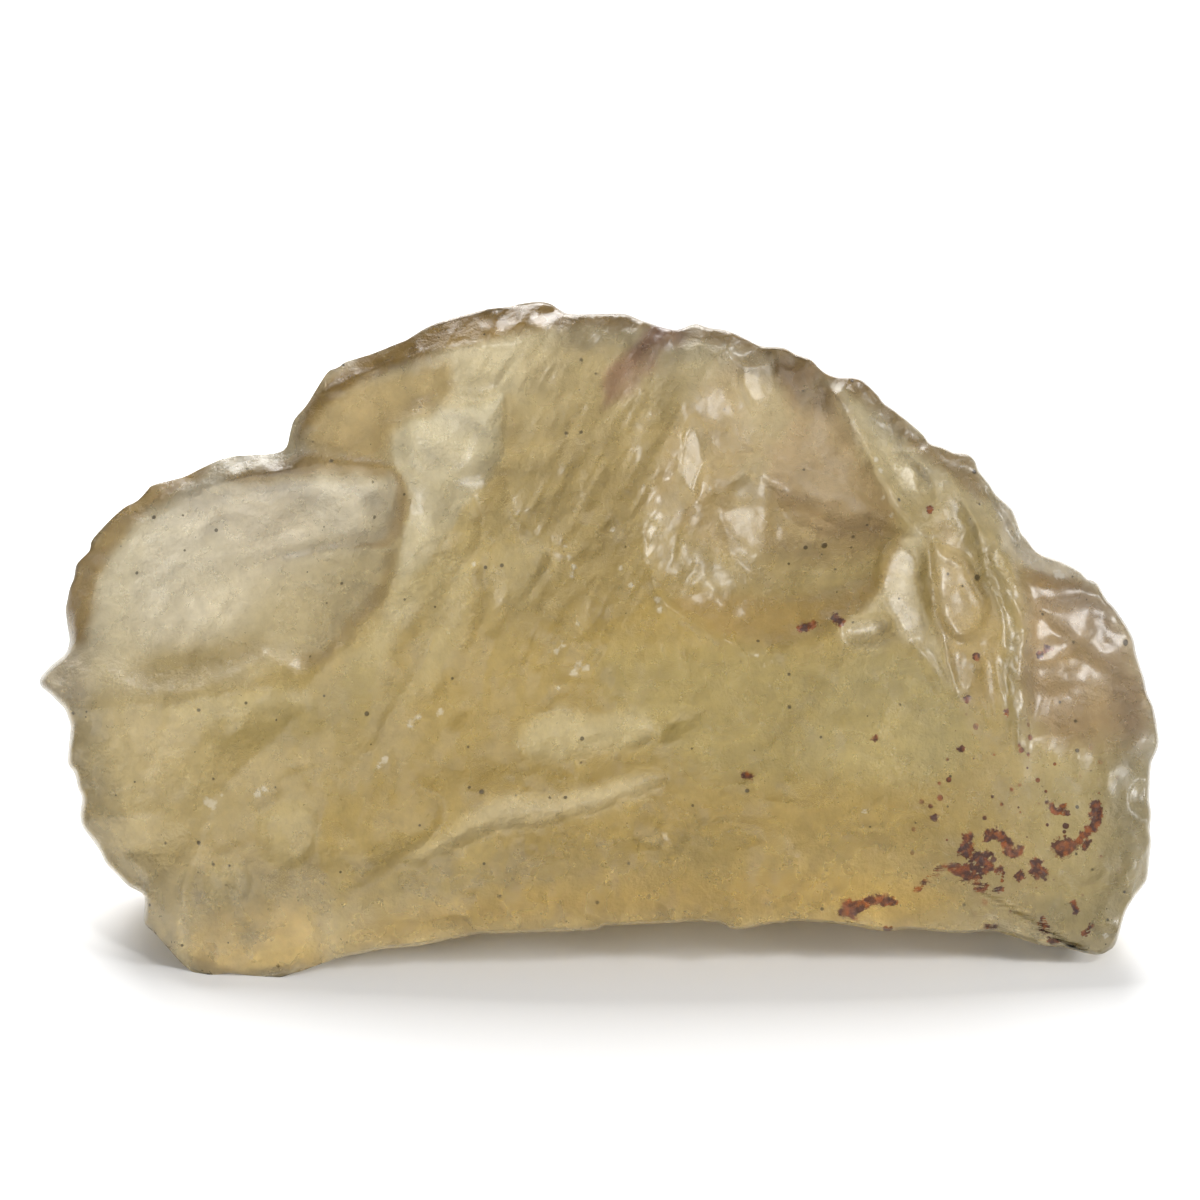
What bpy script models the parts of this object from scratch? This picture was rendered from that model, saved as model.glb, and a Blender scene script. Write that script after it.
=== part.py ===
"""Libyan desert glass: one natural piece of yellow silica glass, flaked and worn by sand.

The stone stands on its long lower edge. Its front is a broad face that leans back, and every
form of that face is placed in face coordinates, in millimetres: a runs across to the right,
b runs up the face and h stands out of the face towards the viewer. A sphere is pressed into
this shape: its front half becomes the flaked face, its rear half the back and the underside,
and its equator the sharp edge between them. Then it is thinned to broad facets and ground
flat where it touches the table.
"""

from math import cos, pi, radians, sin

import bmesh
import bpy
import numpy as np

MM = 0.001
WIDTH = 56.4  # tip to tip; every other size below is drawn for this width
LEAN = radians(30.0)  # how far the broad face leans back from upright
FLOOR = -14.75  # height of the table, seen from the middle of the face
THINNEST = 2.1  # least thickness of the glass inside the edge
EDGE_SHARE = 0.42  # where the edge lies between the front and the back
BACK_SLOPE = 2.2  # how far in from the edge the worn slope of the back reaches

RINGS = 150
SEGMENTS = 520
FACETS = 9400
RAY_STEP = 0.25  # degrees between the rays that measure the outline
EASED_RAYS = 65

GLASS_COLOUR = (0.40, 0.31, 0.12, 1.0)
GLASS_ROUGHNESS = 0.38
GLASS_IOR = 1.46

# The edge of the face seen square on, from the thorn at the left tip, clockwise.
OUTLINE = [
    (-28.3, -1.5), (-28.0, -1.1), (-27.6, -0.7), (-27.1, -0.3), (-26.9, 0.0), (-26.8, 0.5),
    (-26.9, 1.1), (-27.0, 2.0), (-26.9, 2.6), (-26.8, 3.1), (-26.6, 3.6), (-26.5, 4.2),
    (-26.3, 4.5), (-25.8, 5.0), (-25.7, 5.5), (-25.1, 6.2), (-24.6, 6.7), (-24.0, 7.2),
    (-23.4, 7.5), (-22.9, 8.0), (-22.6, 8.3), (-21.4, 8.6), (-20.8, 8.8), (-20.0, 9.2),
    (-18.8, 9.7), (-17.8, 9.8), (-16.3, 9.9), (-15.8, 10.2), (-15.6, 11.0), (-15.4, 11.6),
    (-14.8, 12.3), (-14.3, 13.1), (-13.7, 14.0), (-13.2, 14.2), (-12.8, 14.5), (-11.5, 14.9),
    (-10.2, 15.4), (-9.7, 15.6), (-8.9, 16.1), (-8.3, 16.4), (-7.7, 16.6), (-5.8, 17.1),
    (-5.0, 17.2), (-4.0, 17.4), (-3.1, 17.5), (-2.5, 17.4), (-2.0, 17.1), (-1.5, 16.9), (0.0, 16.9),
    (1.2, 16.9), (2.0, 16.6), (2.6, 16.4), (3.2, 16.2), (3.8, 16.1), (4.2, 16.2), (4.8, 16.4),
    (5.5, 16.2), (6.2, 16.1), (6.8, 15.9), (7.4, 15.6), (8.1, 15.3), (9.2, 15.2), (9.8, 14.9),
    (10.6, 14.6), (11.1, 14.1), (11.6, 13.8), (12.1, 13.7), (12.6, 13.7), (13.1, 13.6),
    (13.5, 13.3), (14.0, 12.8), (14.3, 12.4), (15.0, 11.9), (16.2, 10.9), (16.6, 10.4),
    (17.2, 10.2), (17.9, 9.9), (18.3, 9.9), (18.6, 9.8), (18.9, 9.5), (19.1, 9.0), (19.6, 8.4),
    (20.0, 7.8), (20.7, 7.2), (21.0, 6.6), (21.2, 6.0), (21.6, 5.5), (22.0, 5.0), (22.6, 4.7),
    (23.2, 4.5), (24.2, 4.0), (24.7, 3.5), (25.1, 3.4), (25.6, 2.5), (26.0, 2.1), (26.9, 0.7),
    (27.1, -0.2), (27.5, -1.5), (27.6, -2.2), (27.9, -2.9), (28.1, -4.2), (28.1, -4.8),
    (27.9, -5.3), (27.7, -5.8), (27.6, -7.5), (27.7, -8.2), (27.6, -9.0), (27.7, -9.7),
    (27.6, -10.5), (27.5, -11.5), (27.2, -12.0), (26.8, -12.5), (26.4, -13.2), (25.9, -14.7),
    (25.5, -15.1), (25.0, -15.3), (24.2, -15.2), (23.8, -14.8), (23.0, -14.9), (22.0, -14.8),
    (21.0, -14.4), (20.0, -14.1), (18.0, -14.2), (15.5, -14.0), (14.5, -14.1), (13.5, -14.0),
    (12.5, -13.8), (10.0, -13.6), (9.0, -13.7), (8.2, -13.8), (6.8, -14.0), (6.0, -13.7),
    (5.0, -13.6), (3.0, -13.7), (1.0, -13.8), (0.2, -13.8), (-0.2, -14.0), (-2.0, -14.1),
    (-5.0, -14.2), (-6.0, -14.2), (-7.0, -14.4), (-8.0, -14.6), (-9.0, -14.8), (-10.0, -14.9),
    (-11.0, -15.0), (-12.0, -15.2), (-13.0, -15.4), (-14.2, -15.8), (-15.0, -16.1), (-15.4, -16.2),
    (-16.0, -16.4), (-16.8, -16.4), (-18.5, -16.2), (-19.2, -16.3), (-20.1, -16.4), (-20.5, -16.1),
    (-21.0, -15.7), (-22.0, -14.6), (-22.5, -14.1), (-22.9, -13.7), (-22.9, -12.8), (-23.0, -12.3),
    (-23.8, -11.9), (-24.4, -11.3), (-24.9, -10.8), (-25.2, -10.2), (-25.6, -9.6), (-26.1, -8.9),
    (-26.2, -8.2), (-26.1, -7.5), (-26.3, -7.0), (-26.5, -6.2), (-26.8, -5.8), (-26.8, -5.0),
    (-26.7, -3.9), (-26.8, -3.5), (-27.0, -3.0), (-27.4, -2.6), (-27.8, -2.2), (-28.2, -1.9),
]
# How far in from the edge the worn slope of the face reaches, by direction in degrees, taken
# anticlockwise from the right.
SLOPES = [
    (-180, 1.0), (-150, 0.8), (-120, 0.6), (-60, 0.6), (-30, 0.7), (0, 0.9), (50, 1.0),
    (75, 0.8), (95, 0.9), (105, 1.8), (130, 2.2), (150, 1.4), (165, 2.0), (180, 1.0),
]

# Worn ridges that part the body from the wing and foot on the left, and from the right lobe.
LEFT_RIDGE = [(-9.0, 12.0), (-9.6, 8.0), (-10.2, 5.0), (-11.5, 2.2), (-13.6, -0.6),
              (-16.0, -3.2), (-18.2, -6.2), (-19.4, -8.2), (-20.4, -10.6), (-20.8, -12.4),
              (-20.6, -16.2)]
RIGHT_RIDGE = [(10.6, 14.6), (12.1, 12.3), (13.0, 10.3), (13.9, 8.7), (15.2, 6.2), (16.4, 3.6),
               (17.0, 0.4), (17.8, -2.0), (18.2, -5.0)]
# The step down to the right lobe, beside the ribs.
GROOVE = [(19.2, 8.0), (20.2, 5.4), (20.8, 3.7), (21.2, 1.6), (21.0, -1.5), (21.2, -5.0),
          (21.4, -8.0)]

# One row for each flake scar of the face: the line round it, how deep it is, how far in from
# that line its wall reaches, and how the depth grows to the right and upwards.
SCARS = [
    # the wing, thinned from the left
    ([(-25.1, -0.2), (-25.0, 2.2), (-24.4, 4.4), (-23.1, 6.2), (-21.6, 7.2), (-19.8, 8.0),
      (-17.8, 8.6), (-15.0, 9.1), (-12.5, 9.1), (-10.6, 9.0), (-9.9, 8.0), (-9.9, 6.0),
      (-10.2, 3.8), (-10.8, 2.5), (-11.7, 1.6), (-12.8, 0.3), (-13.7, -0.7), (-15.2, -1.1),
      (-16.6, -0.5), (-18.2, -1.1), (-20.4, -2.0), (-22.5, -2.1), (-24.2, -1.6)],
      0.55, 1.6, (0.05, -0.02)),
    # the stepped flake inside it
    ([(-22.5, 5.2), (-22.4, 7.1), (-20.0, 8.2), (-16.5, 8.7), (-12.5, 8.8), (-10.8, 8.8),
      (-10.3, 7.6), (-10.2, 6.6), (-10.6, 5.8), (-11.5, 5.3), (-12.8, 5.2), (-14.5, 4.8),
      (-17.0, 4.2), (-20.0, 3.5), (-21.8, 3.8)], 0.42, 0.8, (0.05, 0.03)),
    # below the wing's ridge
    ([(-26.2, -3.8), (-24.5, -2.9), (-22.0, -2.7), (-19.5, -2.5), (-16.9, -1.9), (-15.4, -2.6),
      (-16.4, -4.6), (-18.4, -6.5), (-20.0, -7.8), (-21.8, -9.2), (-24.0, -8.9), (-25.6, -7.0)],
      0.40, 2.6, (0.03, 0.0)),
    # between the notch and the pale facet
    ([(-15.2, 11.0), (-14.5, 12.4), (-13.2, 13.4), (-11.0, 14.2), (-8.5, 14.9), (-7.4, 14.5),
      (-7.6, 12.9), (-8.5, 12.0), (-10.3, 11.3), (-10.7, 10.5), (-10.4, 9.4), (-13.0, 9.4),
      (-15.0, 9.8)], 0.35, 1.0, (0.0, 0.03)),
    # the pale facet
    ([(-10.6, 11.2), (-8.5, 11.8), (-7.6, 12.5), (-6.0, 12.6), (-4.8, 12.8), (-4.8, 11.0),
      (-5.0, 9.5), (-5.6, 8.2), (-6.5, 7.8), (-7.1, 6.8), (-7.8, 5.2), (-8.5, 3.8), (-9.5, 2.5),
      (-10.8, 0.8), (-11.9, -0.2), (-12.4, 0.1), (-11.8, 1.4), (-10.7, 2.4), (-10.1, 3.6),
      (-9.9, 5.2), (-9.5, 6.5), (-9.5, 7.5), (-9.8, 8.5), (-10.6, 9.8)], 0.38, 1.5, (0.08, 0.03)),
    # the sheen facet under the top edge
    ([(-7.5, 14.8), (-6.5, 15.3), (-5.3, 15.1), (-4.3, 15.0), (-4.4, 14.3), (-5.0, 13.6),
      (-5.8, 13.1), (-7.2, 12.9), (-7.7, 13.7)], 0.28, 0.6, (0.0, 0.04)),
    # scallop in the top edge
    ([(-7.7, 15.2), (-7.2, 16.2), (-5.8, 17.2), (-4.0, 17.8), (-2.4, 17.6), (-1.5, 16.9),
      (-2.2, 16.6), (-2.9, 16.2), (-3.5, 15.7), (-4.2, 15.2), (-5.3, 15.1), (-6.5, 15.4)],
      0.45, 0.7, (0.05, 0.0)),
    # the whole scoop of the big bowl
    ([(8.0, 15.8), (6.1, 15.0), (4.6, 13.1), (3.4, 11.0), (2.5, 8.5), (2.2, 6.0), (2.5, 3.8),
      (3.6, 2.0), (5.2, 0.8), (7.2, -0.2), (9.5, -0.2), (11.5, 0.8), (13.5, 2.4), (14.9, 4.2),
      (15.6, 6.0), (14.8, 8.0), (13.5, 10.5), (12.2, 12.5), (11.0, 14.1), (9.5, 15.2)],
      1.50, 5.0, (0.03, -0.03)),
    # upper half of the big bowl
    ([(7.1, 15.5), (5.7, 14.2), (5.0, 13.2), (4.5, 12.0), (4.1, 10.5), (4.0, 9.0), (4.6, 7.7),
      (6.1, 7.1), (8.1, 7.2), (10.0, 6.9), (12.5, 6.1), (15.2, 5.8), (15.2, 6.7), (14.0, 8.8),
      (12.2, 12.2), (10.7, 14.3), (8.8, 15.4)], 0.50, 1.6, (0.04, 0.02)),
    # lower half of the big bowl
    ([(5.0, 9.4), (3.2, 8.5), (2.4, 7.5), (2.1, 6.2), (2.1, 4.8), (2.5, 3.4), (3.2, 2.4),
      (4.5, 1.4), (6.0, 0.7), (7.2, 0.1), (8.2, -0.2), (9.1, 0.5), (10.2, 0.9), (11.8, 1.5),
      (13.3, 2.2), (14.3, 3.7), (15.2, 5.2), (15.7, 6.0), (14.0, 7.5), (10.5, 9.0), (7.5, 9.8)],
      0.65, 1.8, (0.02, 0.05)),
    # flat bottom of the bowl
    ([(10.0, 11.8), (8.8, 10.5), (8.2, 9.0), (8.7, 7.5), (10.0, 6.2), (12.5, 5.6), (14.7, 5.8),
      (14.9, 6.5), (13.9, 8.7), (13.0, 10.5), (12.1, 12.2), (11.1, 13.2)], 0.35, 1.2, (-0.05, 0.0)),
    # hollow above the bright facet
    ([(12.7, 12.2), (12.3, 13.2), (13.3, 13.3), (14.2, 12.2), (15.2, 11.2), (15.2, 9.9),
      (16.4, 9.0), (16.8, 7.5), (16.2, 6.5), (15.2, 6.8), (14.7, 7.6), (14.0, 9.0), (13.2, 10.5)],
      0.45, 1.1, (0.06, 0.0)),
    # shoulder flake
    ([(16.6, 10.4), (17.5, 9.6), (18.8, 9.4), (19.6, 8.0), (20.6, 6.5), (21.2, 5.2), (20.4, 4.7),
      (19.5, 5.5), (18.4, 6.9), (17.5, 8.2)], 0.40, 0.7, (0.05, 0.0)),
    # the bright facet
    ([(15.2, 5.6), (16.1, 5.8), (16.4, 4.5), (16.1, 2.9), (16.8, 1.2), (17.8, -2.0), (17.2, -1.7),
      (16.2, -0.2), (15.0, 0.5), (13.6, 0.2), (12.3, 0.4), (12.1, 1.2), (13.4, 2.1), (14.3, 3.6)],
      0.45, 1.0, (-0.16, -0.05)),
    # beyond its ridge
    ([(16.6, 5.5), (17.4, 5.2), (18.5, 4.5), (19.2, 3.0), (19.5, 1.8), (18.9, 0.7), (17.8, 0.3),
      (17.2, 1.0), (16.7, 2.5), (16.5, 4.0)], 0.45, 0.5, (-0.03, 0.0)),
    # the tip below
    ([(17.3, 0.1), (18.4, 0.3), (19.3, 0.1), (19.4, -1.0), (18.9, -2.0), (18.2, -2.5),
      (17.8, -1.8)], 0.28, 0.5, (0.0, 0.0)),
    # right lobe, top shelf
    ([(20.9, 3.3), (21.6, 3.5), (22.1, 3.2), (22.9, 3.0), (23.6, 3.1), (24.2, 3.2), (24.7, 3.1),
      (25.6, 2.4), (27.0, 0.5), (27.0, 3.0), (25.0, 4.8), (22.5, 5.8), (21.1, 6.2), (20.6, 5.0)],
      0.45, 0.7, (0.03, 0.05)),
    # right lobe, second shelf
    ([(21.7, 1.6), (22.3, 1.5), (22.8, 1.0), (23.5, 0.2), (24.0, -0.2), (24.6, -0.6),
      (25.3, -1.1), (26.0, -1.6), (28.2, -2.0), (27.5, 0.5), (26.0, 2.2), (24.8, 2.9), (23.0, 2.6),
      (21.8, 2.5)], 0.28, 0.6, (0.02, 0.02)),
    # chip at the right end
    ([(27.9, -8.1), (27.5, -9.4), (27.1, -10.4), (26.7, -11.8), (26.6, -12.6), (27.5, -12.5),
      (28.2, -10.0)], 0.45, 0.5, (0.0, 0.0)),
    # pale dip in the body
    ([(-4.4, -4.4), (-3.5, -3.4), (-2.0, -3.0), (0.0, -3.2), (2.0, -2.8), (5.0, -2.9),
      (4.5, -4.2), (2.0, -4.9), (0.0, -5.2), (-2.0, -5.5), (-3.9, -5.3)], 0.30, 1.3, (0.0, 0.05)),
    # long pale dip below it
    ([(-9.9, -10.5), (-8.4, -9.5), (-6.8, -8.2), (-4.5, -7.3), (-1.0, -7.0), (2.5, -5.9),
      (3.4, -6.6), (1.0, -7.8), (-2.0, -8.6), (-5.0, -9.0), (-7.5, -10.1), (-9.0, -10.9)],
      0.32, 1.2, (0.0, 0.05)),
    # olive hollow on the left
    ([(-13.2, -7.5), (-11.5, -6.5), (-9.8, -6.1), (-8.5, -6.9), (-7.7, -7.5), (-8.0, -8.8),
      (-9.0, -10.0), (-10.8, -11.5), (-12.8, -11.8), (-13.9, -10.5), (-14.1, -8.8)],
      0.30, 1.8, (0.0, 0.0)),
]
# Crests along the face: the line, its height, and how wide it is to the left and to the right
# of someone who goes along the line.
CREASES = [
    # crest of the wing's lower edge
    ([(-15.0, 0.5), (-16.6, -0.2), (-18.2, -1.1), (-20.4, -2.0), (-22.5, -2.5)], 0.15, 0.9, 0.6),
    # ripple in the bowl
    ([(5.8, 13.2), (5.6, 11.0), (5.9, 8.5), (6.1, 6.5), (6.8, 4.5), (8.5, 3.1)], 0.34, 0.9, 1.1),
    ([(8.2, 10.5), (8.0, 8.5), (8.2, 6.5), (9.5, 4.9), (11.5, 4.4)], 0.21, 0.6, 0.8),
    ([(5.0, 2.9), (7.5, 2.5), (10.5, 2.4), (12.8, 3.0), (14.2, 4.4)], 0.19, 0.5, 0.4),
    ([(9.5, 4.2), (11.8, 4.0), (13.1, 4.5), (14.2, 5.2), (15.2, 6.0)], 0.19, 0.35, 0.25),
    ([(10.6, 4.9), (12.2, 4.9), (13.4, 5.3)], 0.11, 0.3, 0.2),
    # rim of the bowl
    ([(11.0, 13.6), (12.1, 12.3), (13.1, 10.3), (13.9, 8.8), (14.6, 7.4), (15.2, 6.4),
      (16.1, 6.0)], 0.26, 0.35, 0.5),
    # ridge of the bright facet
    ([(16.1, 6.0), (16.4, 4.5), (16.1, 2.9), (16.8, 1.4), (17.4, -0.5), (17.9, -2.1)],
      0.32, 0.5, 0.4),
    # diagonal ridges of the shoulder
    ([(16.5, 10.5), (17.4, 9.0), (18.3, 7.2), (19.2, 5.5), (20.0, 3.8)], 0.26, 0.5, 0.3),
    # rib
    ([(19.2, 7.2), (19.8, 5.5), (20.2, 3.9), (20.7, 2.5), (21.2, 1.1)], 0.34, 0.22, 0.3),
    ([(18.4, 7.1), (19.1, 5.2), (19.5, 3.5), (20.0, 1.9), (20.2, 0.5), (20.5, -0.7)],
      0.31, 0.22, 0.3),
    ([(20.0, 5.8), (20.5, 4.4), (21.0, 3.0), (21.5, 1.9), (22.0, 1.4)], 0.24, 0.2, 0.25),
    ([(18.9, 0.5), (19.2, -0.6), (19.5, -2.0), (19.7, -3.7)], 0.37, 0.28, 0.22),
    ([(19.8, 0.5), (19.9, -0.9), (20.1, -2.5), (20.3, -4.0)], 0.34, 0.25, 0.22),
    ([(20.4, -0.7), (20.6, -2.0), (20.8, -3.8), (20.9, -5.5)], 0.27, 0.22, 0.2),
    ([(21.3, 1.0), (21.4, -1.0), (21.3, -3.0), (21.4, -5.5)], 0.27, 0.35, 0.5),
    # small ridge of the left hollow
    ([(-9.4, -6.7), (-8.0, -7.3), (-7.7, -8.1), (-8.2, -9.0)], 0.12, 0.4, 0.3),
    # dotted ridge above the foot
    ([(-19.3, -7.8), (-19.9, -9.6), (-20.6, -10.8), (-20.8, -12.4), (-20.5, -13.8),
      (-20.6, -15.9)], 0.16, 0.3, 0.25),
    # ledge in the middle
    ([(-6.9, 9.0), (-6.3, 7.5), (-5.9, 6.0), (-6.3, 4.5)], 0.16, 0.5, 0.3),
    ([(-4.7, 9.0), (-4.4, 7.0), (-3.0, 5.6), (-1.2, 5.1)], 0.16, 0.6, 0.3),
]
# The knobs of the underside that the stone stands on: where each is, seen square on to the
# face, how wide it is and how far it hangs below the rest.
FEET = [((-17.6, -14.6), 2.4, 2.1), ((24.0, -14.2), 2.6, 2.0), ((5.0, -9.6), 2.6, 2.1)]
# The flake scars behind, as ovals: the centre, half sizes, turn in degrees, how deep it is,
# how steep its wall is, and the pitch and height of its ripples.
BACK_FLAKES = [
    ((-7.0, 7.4), (11.5, 9.0), -12, 2.2, 2.2, 2.3, 0.07),
    ((12.0, 5.2), (10.0, 8.4), 14, 1.8, 2.2, 1.9, 0.06),
    ((-21.0, 3.0), (6.8, 6.4), 0, 0.8, 2.4, 1.6, 0.04),
    ((3.5, -3.4), (10.5, 4.8), 4, 1.2, 2.4, 1.7, 0.05),
    ((-14.0, -4.4), (5.4, 4.8), 20, 0.8, 2.2, 1.4, 0.04),
    ((20.0, -4.0), (5.2, 5.0), -20, 0.7, 2.4, 1.3, 0.03),
    ((3.0, 13.4), (3.6, 3.0), 0, 0.5, 2.4, 1.0, 0.0),
    ((-13.0, 12.2), (3.0, 2.4), 30, 0.4, 2.4, 1.0, 0.0),
]


def smooth_line(points, steps, closed):
    """A smooth line through the points: each span is the Catmull-Rom cubic."""
    p1 = np.array(points, dtype=float)
    if not closed:
        p1 = np.vstack([2 * p1[0] - p1[1], p1, 2 * p1[-1] - p1[-2]])
    p0, p2, p3 = np.roll(p1, 1, 0), np.roll(p1, -1, 0), np.roll(p1, -2, 0)
    t = np.linspace(0.0, 1.0, steps, endpoint=False)[None, :, None]
    p0, p1, p2, p3 = (p[:, None, :] for p in (p0, p1, p2, p3))
    curve = 0.5 * (2 * p1 + (p2 - p0) * t + (2 * p0 - 5 * p1 + 4 * p2 - p3) * t**2
                   + (3 * p1 - p0 - 3 * p2 + p3) * t**3)
    curve = curve.reshape(-1, 2)
    return curve if closed else curve[steps:-2 * steps + 1]


def smooth_min(p, q, blend):
    """The lower of two heights, with the crease between them worn round over blend."""
    share = np.clip(0.5 + 0.5 * (q - p) / blend, 0.0, 1.0)
    return q + (p - q) * share - blend * share * (1.0 - share)


def smooth_max(p, q, blend):
    return -smooth_min(-p, -q, blend)


def smooth_step(value, low, high):
    t = np.clip((value - low) / (high - low), 0.0, 1.0)
    return t * t * (3.0 - 2.0 * t)


def lattice_height(i, j, start):
    """A fixed random height for each corner of a square lattice, from -1 to 1."""
    return 2.0 * np.mod(np.sin(i * 127.1 + j * 311.7 + start * 74.7) * 43758.5453, 1.0) - 1.0


def unevenness(a, b, pitch, start):
    """Smooth rises and dips about pitch apart: lattice heights eased from corner to corner,
    with a second, finer lattice turned across the first."""
    total = 0.0
    for octave, share in ((1.0, 0.75), (2.3, 0.35)):
        turn = start + octave
        u = (a * cos(turn) + b * sin(turn)) * octave / pitch
        v = (b * cos(turn) - a * sin(turn)) * octave / pitch
        i, j = np.floor(u), np.floor(v)
        s, t = smooth_step(u - i, 0.0, 1.0), smooth_step(v - j, 0.0, 1.0)
        near = lattice_height(i, j, start) * (1 - s) + lattice_height(i + 1, j, start) * s
        far = lattice_height(i, j + 1, start) * (1 - s) + lattice_height(i + 1, j + 1, start) * s
        total = total + share * (near * (1 - t) + far * t)
    return total


def flake(a, b, centre, half_size, turn, depth, steepness, ripple_pitch, ripple_height):
    """What one blow took away: a bowl with an oval rim, whose wall is steeper the higher the
    steepness, and whose ripples spread in rings from the blow at the upper end of the oval."""
    ca, cb = cos(radians(turn)), sin(radians(turn))
    s = ((a - centre[0]) * ca + (b - centre[1]) * cb) / half_size[0]
    t = ((b - centre[1]) * ca - (a - centre[0]) * cb) / half_size[1]
    r = np.sqrt(s * s + t * t)
    spread = np.hypot(s * half_size[0], (t - 1.0) * half_size[1])
    rings = ripple_height * np.sin(2 * pi * spread / ripple_pitch)
    return depth * np.clip(1.0 - r**steepness, 0.0, None) + rings * np.clip(2.0 - 2.0 * r, 0.0, 1.0)


def right_of(a, b, line):
    """How far each point lies to the right of a line of points that runs down the face."""
    down = np.array(line)[::-1]
    return a - np.interp(b, down[:, 1], down[:, 0])


def along_line(a, b, line, closed):
    """For each point: its distance to the nearest span of the line, on which side of that
    span it lies, and how far along the whole line, from 0 to 1, the nearest place is."""
    ends = np.roll(line, -1, 0) if closed else line[1:]
    spans = list(zip(line, ends))
    gap, side, share = np.full(a.shape, np.inf), np.zeros(a.shape), np.zeros(a.shape)
    for k, ((sa, sb), (ea, eb)) in enumerate(spans):
        da, db = ea - sa, eb - sb
        along = np.clip(((a - sa) * da + (b - sb) * db) / (da * da + db * db + 1e-12), 0.0, 1.0)
        away = np.hypot(a - sa - along * da, b - sb - along * db)
        closer = away < gap
        gap = np.where(closer, away, gap)
        side = np.where(closer, np.sign(da * (b - sb) - db * (a - sa)), side)
        share = np.where(closer, (k + along) / len(spans), share)
    return gap, side, share


def depth_inside(a, b, points, beyond):
    """Distance to a smooth closed line, above zero inside it. Points more than beyond away
    from its box are left at minus beyond."""
    line = smooth_line(points, 4, True)
    low, high = line.min(0) - beyond, line.max(0) + beyond
    near = (a > low[0]) & (a < high[0]) & (b > low[1]) & (b < high[1])
    na, nb = a[near], b[near]
    inside = np.zeros(na.shape, dtype=bool)
    for (sa, sb), (ea, eb) in zip(line, np.roll(line, -1, 0)):
        if sb != eb:
            inside ^= ((sb > nb) != (eb > nb)) & (na < sa + (nb - sb) * (ea - sa) / (eb - sb))
    result = np.full(a.shape, -float(beyond))
    result[near] = np.where(inside, 1, -1) * along_line(na, nb, line, True)[0]
    return result


def scar(a, b, points, depth, reach, growth):
    """A flake scar with a drawn line round it: from that line its wall goes down as
    1 - (1 - distance / reach)^2, to a floor that may deepen to the right or upwards."""
    into = np.clip(depth_inside(a, b, points, 0.1) / reach, 0.0, 1.0)
    middle = np.mean(points, axis=0)
    floor = depth + growth[0] * (a - middle[0]) + growth[1] * (b - middle[1])
    return np.clip(floor, 0.0, None) * (1.0 - (1.0 - into) ** 2)


def crest(a, b, points, height, left_width, right_width):
    """A worn crest along a line: its height times exp(-distance / width), with a width for
    each side, low at both ends."""
    gap, side, share = along_line(a, b, smooth_line(points, 4, False), False)
    width = np.where(side > 0, left_width, right_width)
    return height * np.exp(-gap / width) * np.clip(np.sin(pi * share), 0.0, 1.0) ** 0.5


def front(a, b):
    """Height of the broad face: a low dome that falls away past its two ridges, less what
    each flake took, plus the crests between them."""
    wa = a + 0.55 * unevenness(a, b, 5.0, 0.3)
    wb = b + 0.55 * unevenness(a, b, 5.0, 1.1)

    h = 0.9 - 0.0026 * (a - 2.0) ** 2 - 0.030 * np.clip(b, 0.0, None) ** 1.6
    h = h - 0.012 * np.clip(-b - 9.5, 0.0, None) ** 2.2
    past_left = np.clip(-right_of(wa, wb, LEFT_RIDGE), 0.0, None)
    foot = smooth_step(-wb, 8.0, 10.0)
    wing = smooth_step(wb, -3.0, 2.0)
    h = h - 0.75 * smooth_step(past_left, 0.0, 2.2) * wing - 0.16 * past_left * (1.0 - foot)
    h = h - 0.55 * np.clip(past_left - 0.4, 0.0, 3.0) * foot
    past_right = np.clip(right_of(wa, wb, RIGHT_RIDGE), 0.0, None)
    h = h - 0.27 * past_right * smooth_step(wb, -8.0, 1.0)
    past_groove = right_of(wa, wb, GROOVE)
    step = 0.5 * smooth_step(past_groove, -0.4, 0.4) + 0.08 * np.clip(past_groove, 0.0, None)
    h = h - step * smooth_step(wb, -9.0, -1.0)

    for row in SCARS:
        h = h - scar(a, b, *row)
    for row in CREASES:
        h = h + crest(a, b, *row)

    # The lower body has soft swells, the middle a flow grain from upper right to lower left.
    bent = wb + 0.10 * np.abs(wa - 4.0) + 0.8 * unevenness(a, b, 9.0, 0.9)
    swell = np.sin(2 * pi * bent / 3.4 + 0.7) * (0.6 + 0.5 * unevenness(a, b, 8.0, 2.9))
    h = h + 0.08 * swell * smooth_step(-wb, 2.0, 5.5) * smooth_step(wb, -14.5, -12.0)
    along, across = a * 0.5 + b * 0.87, a * 0.87 - b * 0.5
    h = h + 0.12 * unevenness(0.35 * along, across, 1.5, 2.2) * smooth_step(wb, -9.0, -3.0)
    return h + 0.14 * unevenness(a, b, 3.2, 4.0)


def back(a, b, face):
    """Height of what lies behind: the underside, the upright back and its flakes."""
    wa = a + 0.7 * unevenness(a, b, 6.0, 5.2)
    wb = b + 0.7 * unevenness(a, b, 6.0, 6.4)
    rear = -13.0 + 0.52 * wb + 0.0060 * wa**2
    left_blade = -9.6 - 0.16 * (wa + 14.0)
    right_end = -11.5 + 0.72 * (wa - 18.0)
    h = smooth_max(smooth_max(rear, left_blade, 2.0), right_end, 1.6)
    for row in BACK_FLAKES:
        h = h + flake(wa, wb, *row)
    h = h + 0.22 * unevenness(a, b, 3.0, 7.7)
    h = smooth_min(h, face - THINNEST, 1.2)
    level = (FLOOR - b * cos(LEAN)) / sin(LEAN)
    level = level + 1.0 + 0.9 * unevenness(a, b, 7.0, 9.0)
    for centre, radius, drop in FEET:
        away = np.hypot(a - centre[0], b - centre[1]) / radius
        level = level - drop * np.exp(-away**2)
    return smooth_max(h, smooth_min(level, face - 0.8, 0.6), 0.8)


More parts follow.
